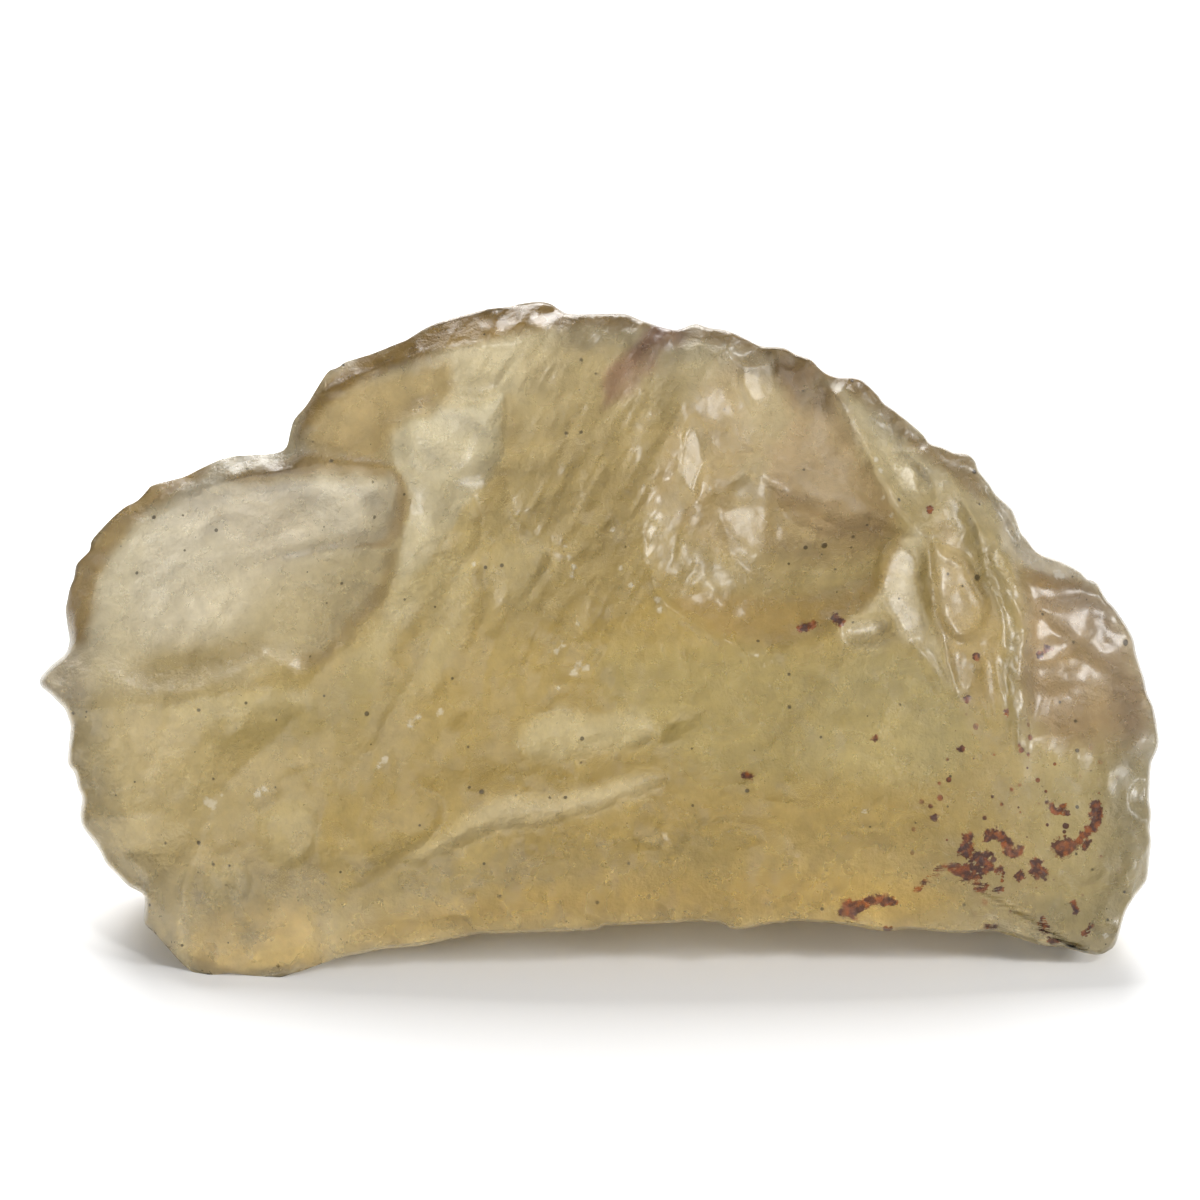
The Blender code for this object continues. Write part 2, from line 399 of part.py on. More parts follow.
def reach_of_rim(rim):
    """How far the rim lies from the middle, for each of a full turn of directions a quarter of
    a degree apart: where a straight ray in that direction last crosses it."""
    turns = np.radians(np.arange(-180.0, 180.0, RAY_STEP))[:, None]
    sa, sb = rim.T
    ea, eb = np.roll(rim, -1, 0).T
    bend = (ea - sa) * np.sin(turns) - (eb - sb) * np.cos(turns)
    bend = np.where(np.abs(bend) < 1e-9, 1e-9, bend)
    share = (sb * np.cos(turns) - sa * np.sin(turns)) / bend
    reach = (sb * ea - sa * eb) / bend
    crossed = (share >= 0.0) & (share <= 1.0) & (reach > 0.0)
    return turns[:, 0], np.where(crossed, reach, 0.0).max(1)


def press_to_shape(unit):
    """Carries the points of a unit sphere, poles on the h axis, to the surface of the stone."""
    rim = smooth_line(OUTLINE, 6, True)
    turns, to_rim = reach_of_rim(rim)
    # Inside the rim the rays are eased, so that its notches don't run on to the middle.
    side = EASED_RAYS // 2
    window = np.hanning(EASED_RAYS) / np.hanning(EASED_RAYS).sum()
    eased = np.convolve(np.concatenate([to_rim[-side:], to_rim, to_rim[:side]]), window, "valid")

    angle = np.arctan2(unit[:, 1], unit[:, 0])
    out = np.arccos(np.clip(np.abs(unit[:, 2]), 0.0, 1.0)) / (pi / 2)
    near = np.interp(angle, turns, eased, period=2 * pi)
    full = np.interp(angle, turns, to_rim, period=2 * pi)
    reach = out * (near + (full - near) * out**4)
    a, b = reach * np.cos(angle), reach * np.sin(angle)

    face = front(a, b)
    rear = back(a, b, face)
    in_front = unit[:, 2] >= 0.0
    edge = face + (rear - face) * EDGE_SHARE
    from_edge = along_line(a, b, rim, True)[0]
    slopes = np.array(SLOPES)
    front_slope = np.interp(np.degrees(angle), slopes[:, 0], slopes[:, 1])
    slope = np.where(in_front, front_slope, BACK_SLOPE)
    rise = 1.0 - (1.0 - np.clip(from_edge / slope, 0.0, 1.0)) ** 1.7
    return a, b, edge + (np.where(in_front, face, rear) - edge) * rise


def stone_mesh():
    """A sphere made by Blender, each vertex carried to its place on the stone."""
    bm = bmesh.new()
    bmesh.ops.create_uvsphere(bm, u_segments=SEGMENTS, v_segments=RINGS, radius=1.0)
    mesh = bpy.data.meshes.new("desert_glass")
    bm.to_mesh(mesh)
    bm.free()

    unit = np.empty(len(mesh.vertices) * 3, dtype=np.float32)
    mesh.vertices.foreach_get("co", unit)
    a, b, h = press_to_shape(unit.reshape(-1, 3).astype(float))
    x = a
    y = b * sin(LEAN) - h * cos(LEAN)
    z = b * cos(LEAN) + h * sin(LEAN) - FLOOR
    x = x - (x.min() + x.max()) / 2
    y = y - (y.min() + y.max()) / 2
    place = np.stack([x, y, z], axis=1) * MM
    mesh.vertices.foreach_set("co", place.astype(np.float32).ravel())
    mesh.update()
    return mesh


def glass_material():
    material = bpy.data.materials.new("desert_glass")
    material.use_nodes = True
    shader = material.node_tree.nodes["Principled BSDF"]
    shader.inputs["Base Color"].default_value = GLASS_COLOUR
    shader.inputs["Roughness"].default_value = GLASS_ROUGHNESS
    shader.inputs["Metallic"].default_value = 0.0
    shader.inputs["IOR"].default_value = GLASS_IOR
    return material


def new_collection(name):
    collection = bpy.data.collections.new(name)
    bpy.context.scene.collection.children.link(collection)
    return collection


def table_cutter():
    """A slab below the table's surface: the stone loses what reaches into it, which leaves
    the small flats that its feet stand on."""
    bm = bmesh.new()
    bmesh.ops.create_cube(bm, size=1.0)
    bmesh.ops.scale(bm, vec=(2 * WIDTH * MM, WIDTH * MM, 10 * MM), verts=bm.verts)
    bmesh.ops.translate(bm, vec=(0, 0, -5 * MM), verts=bm.verts)
    mesh = bpy.data.meshes.new("table_cutter")
    bm.to_mesh(mesh)
    bm.free()
    table = bpy.data.objects.new("table_cutter", mesh)
    table.hide_render = True
    table.display_type = "WIRE"
    new_collection("cutters").objects.link(table)
    return table


def build():
    for old in list(bpy.data.objects):
        bpy.data.objects.remove(old, do_unlink=True)

    stone = bpy.data.objects.new("desert_glass", stone_mesh())
    new_collection("libyan_desert_glass").objects.link(stone)
    stone.data.materials.append(glass_material())
    stone.data.shade_smooth()

    thin = stone.modifiers.new("broad facets", "DECIMATE")
    thin.ratio = FACETS / (2 * SEGMENTS * (RINGS - 1))
    grind = stone.modifiers.new("flat feet", "BOOLEAN")
    grind.operation = "DIFFERENCE"
    grind.object = table_cutter()


build()
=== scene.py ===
from math import cos, pi, radians, sin

import bpy
import numpy as np
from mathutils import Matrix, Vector


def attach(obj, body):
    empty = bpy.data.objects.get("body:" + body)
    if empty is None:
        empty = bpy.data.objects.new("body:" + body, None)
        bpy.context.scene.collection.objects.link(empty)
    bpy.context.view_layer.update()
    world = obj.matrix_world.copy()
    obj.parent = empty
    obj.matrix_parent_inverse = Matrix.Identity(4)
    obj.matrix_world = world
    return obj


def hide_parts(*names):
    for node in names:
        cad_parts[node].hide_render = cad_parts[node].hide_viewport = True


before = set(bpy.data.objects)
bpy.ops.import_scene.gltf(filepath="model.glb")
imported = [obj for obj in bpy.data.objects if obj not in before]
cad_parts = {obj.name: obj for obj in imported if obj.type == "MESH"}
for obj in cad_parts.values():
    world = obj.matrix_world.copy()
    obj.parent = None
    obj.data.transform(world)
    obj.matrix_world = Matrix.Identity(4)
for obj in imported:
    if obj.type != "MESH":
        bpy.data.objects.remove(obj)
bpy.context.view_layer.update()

# The stone. Desert sand, melted in a flash and chilled to glass: one lump, later flaked by
# blows and frost, then sand-blasted for ages. It stands on the thick lower edge of a broad
# face that leans back. a runs across that face, b up it and h out of it, all in millimetres.
MM = 0.001
LEAN = radians(30.0)
FLOOR = -14.75
THINNEST = 2.1
LEAN_RIGHT, LEAN_UP = 0.33, 0.22  # how steeply the flat, shining places fall
EDGE_SHARE = 0.32  # where between face and back the two sheets meet
EDGE_ROUNDING = 1.7
BACK_SLOPE = 2.2  # how far in from the edge the back's slope reaches
EDGE_CHIPS = 90  # on each side
ACROSS, UP = 360, 208  # cells of the front sheet; the sheet behind has half as many each way
RAY_STEP = 0.25  # degrees between the rays that measure the outline
EASED_RAYS = 65  # rays averaged to ease the grid's inner lines
# Heights of the relief: broad swells and the fine ones, flow, ripples, grain and sand wear.
SWELL, WAVES, FLOW, RIPPLES, GRAIN = 0.08, 0.17, 0.12, 0.12, 0.12
WEAR, FINE_WEAR = 0.055, 0.022

OUTLINE = [
    (-28.3, -1.5), (-28, -1.1), (-27.6, -0.7), (-27.1, -0.3), (-26.9, 0), (-26.8, 0.5),
    (-26.9, 1.1), (-27, 2), (-26.9, 2.6), (-26.8, 3.1), (-26.6, 3.6), (-26.5, 4.2), (-26.3, 4.5),
    (-25.8, 5), (-25.7, 5.5), (-25.1, 6.2), (-24.6, 6.7), (-24, 7.2), (-23.4, 7.5), (-22.9, 8),
    (-22.6, 8.3), (-21.4, 8.6), (-20.8, 8.8), (-20, 9.2), (-18.8, 9.7), (-17.8, 9.8), (-16.3, 9.9),
    (-15.8, 10.2), (-15.6, 11), (-15.4, 11.6), (-14.8, 12.3), (-14.3, 13.1), (-13.7, 14),
    (-13.2, 14.2), (-12.8, 14.5), (-11.5, 14.9), (-10.2, 15.4), (-9.7, 15.6), (-8.9, 16.1),
    (-8.3, 16.4), (-7.7, 16.6), (-5.8, 17.1), (-5, 17.2), (-4, 17.4), (-3.1, 17.5), (-2.5, 17.4),
    (-2, 17.1), (-1.5, 16.9), (0, 16.9), (1.2, 16.9), (2, 16.6), (2.6, 16.4), (3.2, 16.2),
    (3.8, 16.1), (4.2, 16.2), (4.8, 16.4), (5.5, 16.2), (6.2, 16.1), (6.8, 15.9), (7.4, 15.6),
    (8.1, 15.3), (9.2, 15.2), (9.8, 14.9), (10.6, 14.6), (11.1, 14.1), (11.6, 13.8), (12.1, 13.7),
    (12.6, 13.7), (13.1, 13.6), (13.5, 13.3), (14, 12.8), (14.3, 12.4), (15, 11.9), (16.2, 10.9),
    (16.6, 10.4), (17.2, 10.2), (17.9, 9.9), (18.3, 9.9), (18.6, 9.8), (18.9, 9.5), (19.1, 9),
    (19.6, 8.4), (20, 7.8), (20.7, 7.2), (21, 6.6), (21.2, 6), (21.6, 5.5), (22, 5), (22.6, 4.7),
    (23.2, 4.5), (24.2, 4), (24.7, 3.5), (25.1, 3.4), (25.6, 2.5), (26, 2.1), (26.9, 0.7),
    (27.1, -0.2), (27.5, -1.5), (27.6, -2.2), (27.9, -2.9), (28.1, -4.2), (28.1, -4.8),
    (27.9, -5.3), (27.7, -5.8), (27.6, -7.5), (27.7, -8.2), (27.6, -9), (27.7, -9.7), (27.6, -10.5),
    (27.5, -11.5), (27.2, -12), (26.8, -12.5), (26.4, -13.2), (25.9, -14.7), (25.5, -15.1),
    (25, -15.3), (24.2, -15.2), (23.8, -14.8), (23, -14.9), (22, -14.8), (21, -14.4), (20, -14.1),
    (18, -14.2), (15.5, -14), (14.5, -14.1), (13.5, -14), (12.5, -13.8), (10, -13.6), (9, -13.7),
    (8.2, -13.8), (6.8, -14), (6, -13.7), (5, -13.6), (3, -13.7), (1, -13.8), (0.2, -13.8),
    (-0.2, -14), (-2, -14.1), (-5, -14.2), (-6, -14.2), (-7, -14.4), (-8, -14.6), (-9, -14.8),
    (-10, -14.9), (-11, -15), (-12, -15.2), (-13, -15.4), (-14.2, -15.8), (-15, -16.1),
    (-15.4, -16.2), (-16, -16.4), (-16.8, -16.4), (-18.5, -16.2), (-19.2, -16.3), (-20.1, -16.4),
    (-20.5, -16.1), (-21, -15.7), (-22, -14.6), (-22.5, -14.1), (-22.9, -13.7), (-22.9, -12.8),
    (-23, -12.3), (-23.8, -11.9), (-24.4, -11.3), (-24.9, -10.8), (-25.2, -10.2), (-25.6, -9.6),
    (-26.1, -8.9), (-26.2, -8.2), (-26.1, -7.5), (-26.3, -7), (-26.5, -6.2), (-26.8, -5.8),
    (-26.8, -5), (-26.7, -3.9), (-26.8, -3.5), (-27, -3), (-27.4, -2.6), (-27.8, -2.2),
    (-28.2, -1.9),
]
LEFT_RIDGE = [(-9.0, 12.0), (-9.6, 8.0), (-10.2, 5.0), (-11.5, 2.2), (-13.6, -0.6),
              (-16.0, -3.2), (-18.2, -6.2), (-19.4, -8.2), (-20.4, -10.6), (-20.8, -12.4),
              (-20.6, -16.2)]
RIGHT_RIDGE = [(10.6, 14.6), (12.1, 12.3), (13.0, 10.3), (13.9, 8.7), (15.2, 6.2), (16.4, 3.6),
               (17.0, 0.4), (17.8, -2.0), (18.2, -5.0)]
GROOVE = [(19.2, 8.0), (20.2, 5.4), (20.8, 3.7), (21.2, 1.6), (21.0, -1.5), (21.2, -5.0),
          (21.4, -8.0)]
FEET = [((-17.6, -14.6), 2.4, 2.1), ((24.0, -14.2), 2.6, 2.0), ((5.0, -9.6), 2.6, 2.1)]
# How far in from the edge its worn slope reaches, by direction in degrees from the right.
SLOPES = [(-180, 0.3), (-150, 0.25), (-120, 0.2), (-60, 0.2), (-30, 0.2), (0, 0.2), (35, 0.12),
          (75, 0.12), (98, 0.14), (107, 1.4), (130, 2.0), (150, 1.0), (165, 1.5), (180, 0.4)]

# One row for each large flake scar of the face: the line round it, its depth, how far in
# from that line its wall reaches, and how the depth grows to the right and upwards.
SCARS = [
    # the wing, thinned from the left
    ([(-25.1, -0.2), (-25, 2.2), (-24.4, 4.4), (-23.1, 6.2), (-21.6, 7.2), (-19.8, 8),
      (-17.8, 8.6), (-15, 9.1), (-12.5, 9.1), (-10.6, 9), (-9.9, 8), (-9.9, 6), (-10.2, 3.8),
      (-10.8, 2.5), (-11.7, 1.6), (-12.8, 0.3), (-13.7, -0.7), (-15.2, -1.1), (-16.6, -0.5),
      (-18.2, -1.1), (-20.4, -2), (-22.5, -2.1), (-24.2, -1.6)], 0.55, 1.6, (0.05, -0.02)),
    # the stepped flake inside it
    ([(-22.5, 5.2), (-22.4, 7.1), (-20, 8.2), (-16.5, 8.7), (-12.5, 8.8), (-10.8, 8.8),
      (-10.3, 7.6), (-10.2, 6.6), (-10.6, 5.8), (-11.5, 5.3), (-12.8, 5.2), (-14.5, 4.8),
      (-17, 4.2), (-20, 3.5), (-21.8, 3.8)], 0.42, 0.8, (0.05, 0.03)),
    # below the wing's ridge
    ([(-26.2, -3.8), (-24.5, -2.9), (-22, -2.7), (-19.5, -2.5), (-16.9, -1.9), (-15.4, -2.6),
      (-16.4, -4.6), (-18.4, -6.5), (-20, -7.8), (-21.8, -9.2), (-24, -8.9), (-25.6, -7)],
      0.40, 2.6, (0.03, 0.0)),
    # between the notch and the pale facet
    ([(-15.2, 11), (-14.5, 12.4), (-13.2, 13.4), (-11, 14.2), (-8.5, 14.9), (-7.4, 14.5),
      (-7.6, 12.9), (-8.5, 12), (-10.3, 11.3), (-10.7, 10.5), (-10.4, 9.4), (-13, 9.4), (-15, 9.8)],
      0.35, 1.0, (0.0, 0.03)),
    # the pale facet
    ([(-10.6, 11.2), (-8.5, 11.8), (-7.6, 12.5), (-6, 12.6), (-4.8, 12.8), (-4.8, 11), (-5, 9.5),
      (-5.6, 8.2), (-6.5, 7.8), (-7.1, 6.8), (-7.8, 5.2), (-8.5, 3.8), (-9.5, 2.5), (-10.8, 0.8),
      (-11.9, -0.2), (-12.4, 0.1), (-11.8, 1.4), (-10.7, 2.4), (-10.1, 3.6), (-9.9, 5.2),
      (-9.5, 6.5), (-9.5, 7.5), (-9.8, 8.5), (-10.6, 9.8)], 0.38, 1.5, (0.08, 0.03)),
    # the sheen facet under the top edge
    ([(-7.5, 14.8), (-6.5, 15.3), (-5.3, 15.1), (-4.3, 15), (-4.4, 14.3), (-5, 13.6),
      (-5.8, 13.1), (-7.2, 12.9), (-7.7, 13.7)], 0.28, 0.6, (0.0, 0.04)),
    # scallop in the top edge
    ([(-7.7, 15.2), (-7.2, 16.2), (-5.8, 17.2), (-4, 17.8), (-2.4, 17.6), (-1.5, 16.9),
      (-2.2, 16.6), (-2.9, 16.2), (-3.5, 15.7), (-4.2, 15.2), (-5.3, 15.1), (-6.5, 15.4)],
      0.30, 0.8, (0.03, 0.0)),
    # thin lip in the scallop
    ([(-5.3, 16.5), (-4, 16.4), (-3, 16.6), (-1.9, 17), (-2.2, 17.6), (-4, 17.8), (-5, 17.5)],
      0.14, 0.5, (0.0, 0.0)),
    # second lip in the top edge
    ([(3.1, 16.4), (4, 15.9), (5, 15.8), (5.7, 16.2), (5.4, 16.8), (4.5, 16.9), (3.4, 16.8)],
      0.20, 0.6, (0.0, 0.0)),
    # the whole scoop of the big bowl
    ([(8, 15.8), (6.1, 15), (4.6, 13.1), (3.4, 11), (2.5, 8.5), (2.2, 6), (2.5, 3.8), (3.6, 2),
      (5.2, 0.8), (7.2, -0.2), (9.5, -0.2), (11.5, 0.8), (13.5, 2.4), (14.9, 4.2), (15.6, 6),
      (14.8, 8), (13.5, 10.5), (12.2, 12.5), (11, 14.1), (9.5, 15.2)], 1.30, 6.5, (0.03, -0.03)),
    # upper half of the big bowl
    ([(7.1, 15.5), (5.7, 14.2), (5, 13.2), (4.5, 12), (4.1, 10.5), (4, 9), (4.6, 7.7), (6.1, 7.1),
      (8.1, 7.2), (10, 6.9), (12.5, 6.1), (15.2, 5.8), (15.2, 6.7), (14, 8.8), (12.2, 12.2),
      (10.7, 14.3), (8.8, 15.4)], 0.45, 1.8, (0.04, 0.02)),
    # lower half of the big bowl
    ([(5, 9.4), (3.2, 8.5), (2.4, 7.5), (2.1, 6.2), (2.1, 4.8), (2.5, 3.4), (3.2, 2.4),
      (4.5, 1.4), (6, 0.7), (7.2, 0.1), (8.2, -0.2), (9.1, 0.5), (10.2, 0.9), (11.8, 1.5),
      (13.3, 2.2), (14.3, 3.7), (15.2, 5.2), (15.7, 6), (14, 7.5), (10.5, 9), (7.5, 9.8)],
      0.38, 1.8, (0.02, 0.05)),
    # flat bottom of the bowl
    ([(10, 11.8), (8.8, 10.5), (8.2, 9), (8.7, 7.5), (10, 6.2), (12.5, 5.6), (14.7, 5.8),
      (14.9, 6.5), (13.9, 8.7), (13, 10.5), (12.1, 12.2), (11.1, 13.2)], 0.35, 1.2, (-0.05, 0.0)),
    # hollow above the bright facet
    ([(12.7, 12.2), (12.3, 13.2), (13.3, 13.3), (14.2, 12.2), (15.2, 11.2), (15.2, 9.9),
      (16.4, 9), (16.8, 7.5), (16.2, 6.5), (15.2, 6.8), (14.7, 7.6), (14, 9), (13.2, 10.5)],
      0.45, 1.1, (0.06, 0.0)),
    # small facet on the shoulder
    ([(14.3, 12.1), (15.1, 11.8), (16.2, 10.7), (16.2, 9.9), (15, 9.9), (14.4, 10.5)],
      0.22, 0.5, (0.0, 0.0)),
    # pale window on the shoulder
    ([(14.9, 9.2), (15.7, 9.2), (16.2, 8.1), (16.1, 7.7), (15.2, 7.8), (14.8, 8.4)],
      0.18, 0.4, (0.0, 0.0)),
    # shoulder flake
    ([(16.6, 10.4), (17.5, 9.6), (18.8, 9.4), (19.6, 8), (20.6, 6.5), (21.2, 5.2), (20.4, 4.7),
      (19.5, 5.5), (18.4, 6.9), (17.5, 8.2)], 0.40, 0.7, (0.05, 0.0)),
    # the bright facet
    ([(15.2, 5.6), (16.1, 5.8), (16.4, 4.5), (16.1, 2.9), (16.8, 1.2), (17.8, -2), (17.2, -1.7),
      (16.2, -0.2), (15, 0.5), (13.6, 0.2), (12.3, 0.4), (12.1, 1.2), (13.4, 2.1), (14.3, 3.6)],
      0.45, 1.0, (-0.16, -0.05)),
    # beyond its ridge
    ([(16.6, 5.5), (17.4, 5.2), (18.5, 4.5), (19.2, 3), (19.5, 1.8), (18.9, 0.7), (17.8, 0.3),
      (17.2, 1), (16.7, 2.5), (16.5, 4)], 0.45, 0.5, (-0.03, 0.0)),
    # the tip below
    ([(17.3, 0.1), (18.4, 0.3), (19.3, 0.1), (19.4, -1), (18.9, -2), (18.2, -2.5), (17.8, -1.8)],
      0.28, 0.5, (0.0, 0.0)),
    # right lobe, top shelf
    ([(20.9, 3.3), (21.6, 3.5), (22.1, 3.2), (22.9, 3), (23.6, 3.1), (24.2, 3.2), (24.7, 3.1),
      (25.6, 2.4), (27, 0.5), (27, 3), (25, 4.8), (22.5, 5.8), (21.1, 6.2), (20.6, 5)],
      0.35, 1.2, (0.0, 0.02)),
    # right lobe, second shelf
    ([(21.7, 1.6), (22.3, 1.5), (22.8, 1), (23.5, 0.2), (24, -0.2), (24.6, -0.6), (25.3, -1.1),
      (26, -1.6), (28.2, -2), (27.5, 0.5), (26, 2.2), (24.8, 2.9), (23, 2.6), (21.8, 2.5)],
      0.24, 1.0, (0.0, 0.0)),
    # chip at the right end
    ([(27.9, -8.1), (27.5, -9.4), (27.1, -10.4), (26.7, -11.8), (26.6, -12.6), (27.5, -12.5),
      (28.2, -10)], 0.45, 0.5, (0.0, 0.0)),
    # pale dip in the body
    ([(-4.4, -4.4), (-3.5, -3.4), (-2, -3), (0, -3.2), (2, -2.8), (5, -2.9), (4.5, -4.2),
      (2, -4.9), (0, -5.2), (-2, -5.5), (-3.9, -5.3)], 0.30, 1.3, (0.0, 0.05)),
    # long pale dip below it
    ([(-9.9, -10.5), (-8.4, -9.5), (-6.8, -8.2), (-4.5, -7.3), (-1, -7), (2.5, -5.9), (3.4, -6.6),
      (1, -7.8), (-2, -8.6), (-5, -9), (-7.5, -10.1), (-9, -10.9)], 0.32, 1.2, (0.0, 0.05)),
    # olive hollow on the left
    ([(-13.2, -7.5), (-11.5, -6.5), (-9.8, -6.1), (-8.5, -6.9), (-7.7, -7.5), (-8, -8.8),
      (-9, -10), (-10.8, -11.5), (-12.8, -11.8), (-13.9, -10.5), (-14.1, -8.8)],
      0.30, 1.8, (0.0, 0.0)),
    # patch near the left end
    ([(-16.9, -8.2), (-15.5, -7.5), (-14.2, -7.9), (-14.1, -9.5), (-15, -10.9), (-16.6, -10.6),
      (-17.1, -9.4)], 0.14, 0.7, (0.0, 0.0)),
    # patch beside the foot
    ([(-19.8, -10.9), (-18.8, -10.4), (-17.5, -11), (-17.4, -12.2), (-18.8, -12.9),
      (-19.7, -12.2)], 0.12, 0.6, (0.0, 0.0)),
    # pale patch below the wing
    ([(-21.6, -3.2), (-20, -2.5), (-17.8, -2.2), (-15, -2), (-15, -3.1), (-17.8, -3.6),
      (-20, -3.7)], 0.14, 0.7, (0.0, 0.0)),
    # crescent ledge, middle
    ([(-2, 6.5), (0, 7.1), (0.9, 6.5), (0.6, 5.2), (-1, 4.5), (-2.4, 4.9)],
      0.14, 0.6, (0.0, 0.0)),
    # pale hollow, middle
    ([(-5.4, 4.5), (-4.5, 5.2), (-2.8, 5.1), (-2.4, 3.8), (-3.2, 2.2), (-4.8, 1.9), (-5.6, 3)],
      0.25, 1.1, (0.03, 0.03)),
    # hollow beside it
    ([(-7.2, 3.8), (-6.1, 4.5), (-5.7, 3), (-6.1, 0.5), (-7.5, -2), (-8.8, -2.5), (-8.6, 0)],
      0.25, 1.1, (0.0, 0.03)),
]
# Crests along the face: the line, its height, and how wide it is on its left and right as
# one goes along it.
CREASES = [
    # crest of the wing's lower edge
    ([(-15, 0.5), (-16.6, -0.2), (-18.2, -1.1), (-20.4, -2), (-22.5, -2.5)], 0.15, 0.9, 0.6),
    # crack round the bowl
    ([(2.4, 3.6), (3, 2.6), (4.2, 1.6), (6, 0.6), (7.2, 0.1), (7.8, -0.6)], 0.26, 0.5, 0.12),
    # ticks that carry it on
    ([(7.9, -0.7), (8.3, -0.7), (8.7, -0.5)], 0.06, 0.1, 0.1),
    ([(8.3, -1.5), (8.7, -1.9), (9.2, -2)], 0.06, 0.1, 0.1),
    # ripple in the bowl
    ([(5.8, 13.2), (5.6, 11), (5.9, 8.5), (6.1, 6.5), (6.8, 4.5), (8.5, 3.1)], 0.22, 0.9, 1.1),
    ([(8.2, 10.5), (8, 8.5), (8.2, 6.5), (9.5, 4.9), (11.5, 4.4)], 0.14, 0.6, 0.8),
    ([(5, 2.9), (7.5, 2.5), (10.5, 2.4), (12.8, 3), (14.2, 4.4)], 0.12, 0.5, 0.4),
    ([(9.5, 4.2), (11.8, 4), (13.1, 4.5), (14.2, 5.2), (15.2, 6)], 0.12, 0.35, 0.25),
    ([(10.6, 4.9), (12.2, 4.9), (13.4, 5.3)], 0.07, 0.3, 0.2),
    # rim of the bowl
    ([(11, 13.6), (12.1, 12.3), (13.1, 10.3), (13.9, 8.8), (14.6, 7.4), (15.2, 6.4), (16.1, 6)],
      0.26, 0.35, 0.5),
    # ridge of the bright facet
    ([(16.1, 6), (16.4, 4.5), (16.1, 2.9), (16.8, 1.4), (17.4, -0.5), (17.9, -2.1)],
      0.32, 0.5, 0.4),
    # diagonal ridges of the shoulder
    ([(16.5, 10.5), (17.4, 9), (18.3, 7.2), (19.2, 5.5), (20, 3.8)], 0.26, 0.5, 0.3),
    # rib
    ([(19.2, 7.2), (19.8, 5.5), (20.2, 3.9), (20.7, 2.5), (21.2, 1.1)], 0.34, 0.22, 0.3),
    ([(18.4, 7.1), (19.1, 5.2), (19.5, 3.5), (20, 1.9), (20.2, 0.5), (20.5, -0.7)],
      0.31, 0.22, 0.3),
    ([(20, 5.8), (20.5, 4.4), (21, 3), (21.5, 1.9), (22, 1.4)], 0.24, 0.2, 0.25),
    ([(18.9, 0.5), (19.2, -0.6), (19.5, -2), (19.7, -3.7)], 0.37, 0.28, 0.22),
    ([(19.8, 0.5), (19.9, -0.9), (20.1, -2.5), (20.3, -4)], 0.34, 0.25, 0.22),
    ([(20.4, -0.7), (20.6, -2), (20.8, -3.8), (20.9, -5.5)], 0.27, 0.22, 0.2),
    ([(21.3, 1), (21.4, -1), (21.3, -3), (21.4, -5.5)], 0.27, 0.35, 0.5),
    # faint ridge of the right lobe
    ([(23.4, -0.8), (23.7, -2.5), (23.9, -4.5), (24, -7)], 0.11, 0.5, 0.5),
    ([(24.9, -2), (25.2, -4), (25.4, -6.5), (25, -9)], 0.10, 0.5, 0.5),
    # small ridge of the left hollow
    ([(-9.4, -6.7), (-8, -7.3), (-7.7, -8.1), (-8.2, -9)], 0.12, 0.4, 0.3),
    # dotted ridge above the foot
    ([(-19.3, -7.8), (-19.9, -9.6), (-20.6, -10.8), (-20.8, -12.4), (-20.5, -13.8),
      (-20.6, -15.9)], 0.16, 0.3, 0.25),
    # ledge in the middle
    ([(-6.9, 9), (-6.3, 7.5), (-5.9, 6), (-6.3, 4.5)], 0.22, 0.5, 0.3),
    ([(-4.7, 9), (-4.4, 7), (-3, 5.6), (-1.2, 5.1)], 0.22, 0.6, 0.3),
    # diagonal lines of the left body
    ([(-7.2, 2.5), (-8.5, 0), (-10, -2.5), (-11.5, -5.5)], 0.14, 0.5, 0.4),
    ([(-4, 2.5), (-5.5, 0), (-6, -2.5), (-8, -5.5)], 0.11, 0.5, 0.4),
    ([(-17.8, -7.6), (-15.5, -6.3), (-13.5, -5.8), (-11, -4.8)], 0.11, 0.3, 0.3),
]
# Small flat places that all lean toward the window and shine together, as ovals: centre, half
# sizes, turn in degrees, and how flat they are from 0 to 1.
GLINTS = [
    ((4.6, 9.5), (0.60, 1.90), -4, 0.95),
    ((7.5, 6.8), (1.10, 1.80), 0, 0.65),
    ((7.9, 13.8), (0.90, 1.70), 0, 0.75),
    ((5.8, 12.3), (0.90, 1.10), -20, 0.7),
    ((3.2, 6.1), (0.60, 1.10), -30, 0.5),
    ((15.2, 3.0), (1.20, 2.60), 8, 0.9),
    ((13.3, 1.1), (1.30, 0.60), 20, 0.8),
    ((15.5, 8.6), (0.60, 0.70), 0, 0.9),
    ((17.0, -1.0), (0.40, 1.30), 20, 0.7),
    ((-7.5, 10.5), (2.30, 2.00), -20, 0.6),
    ((19.9, 4.7), (0.25, 0.70), 10, 0.9),
    ((20.4, 2.8), (0.25, 0.80), 10, 0.9),
    ((19.5, -2.0), (0.25, 0.80), 8, 0.8),
    ((20.6, -2.0), (0.20, 0.70), 6, 0.8),
]
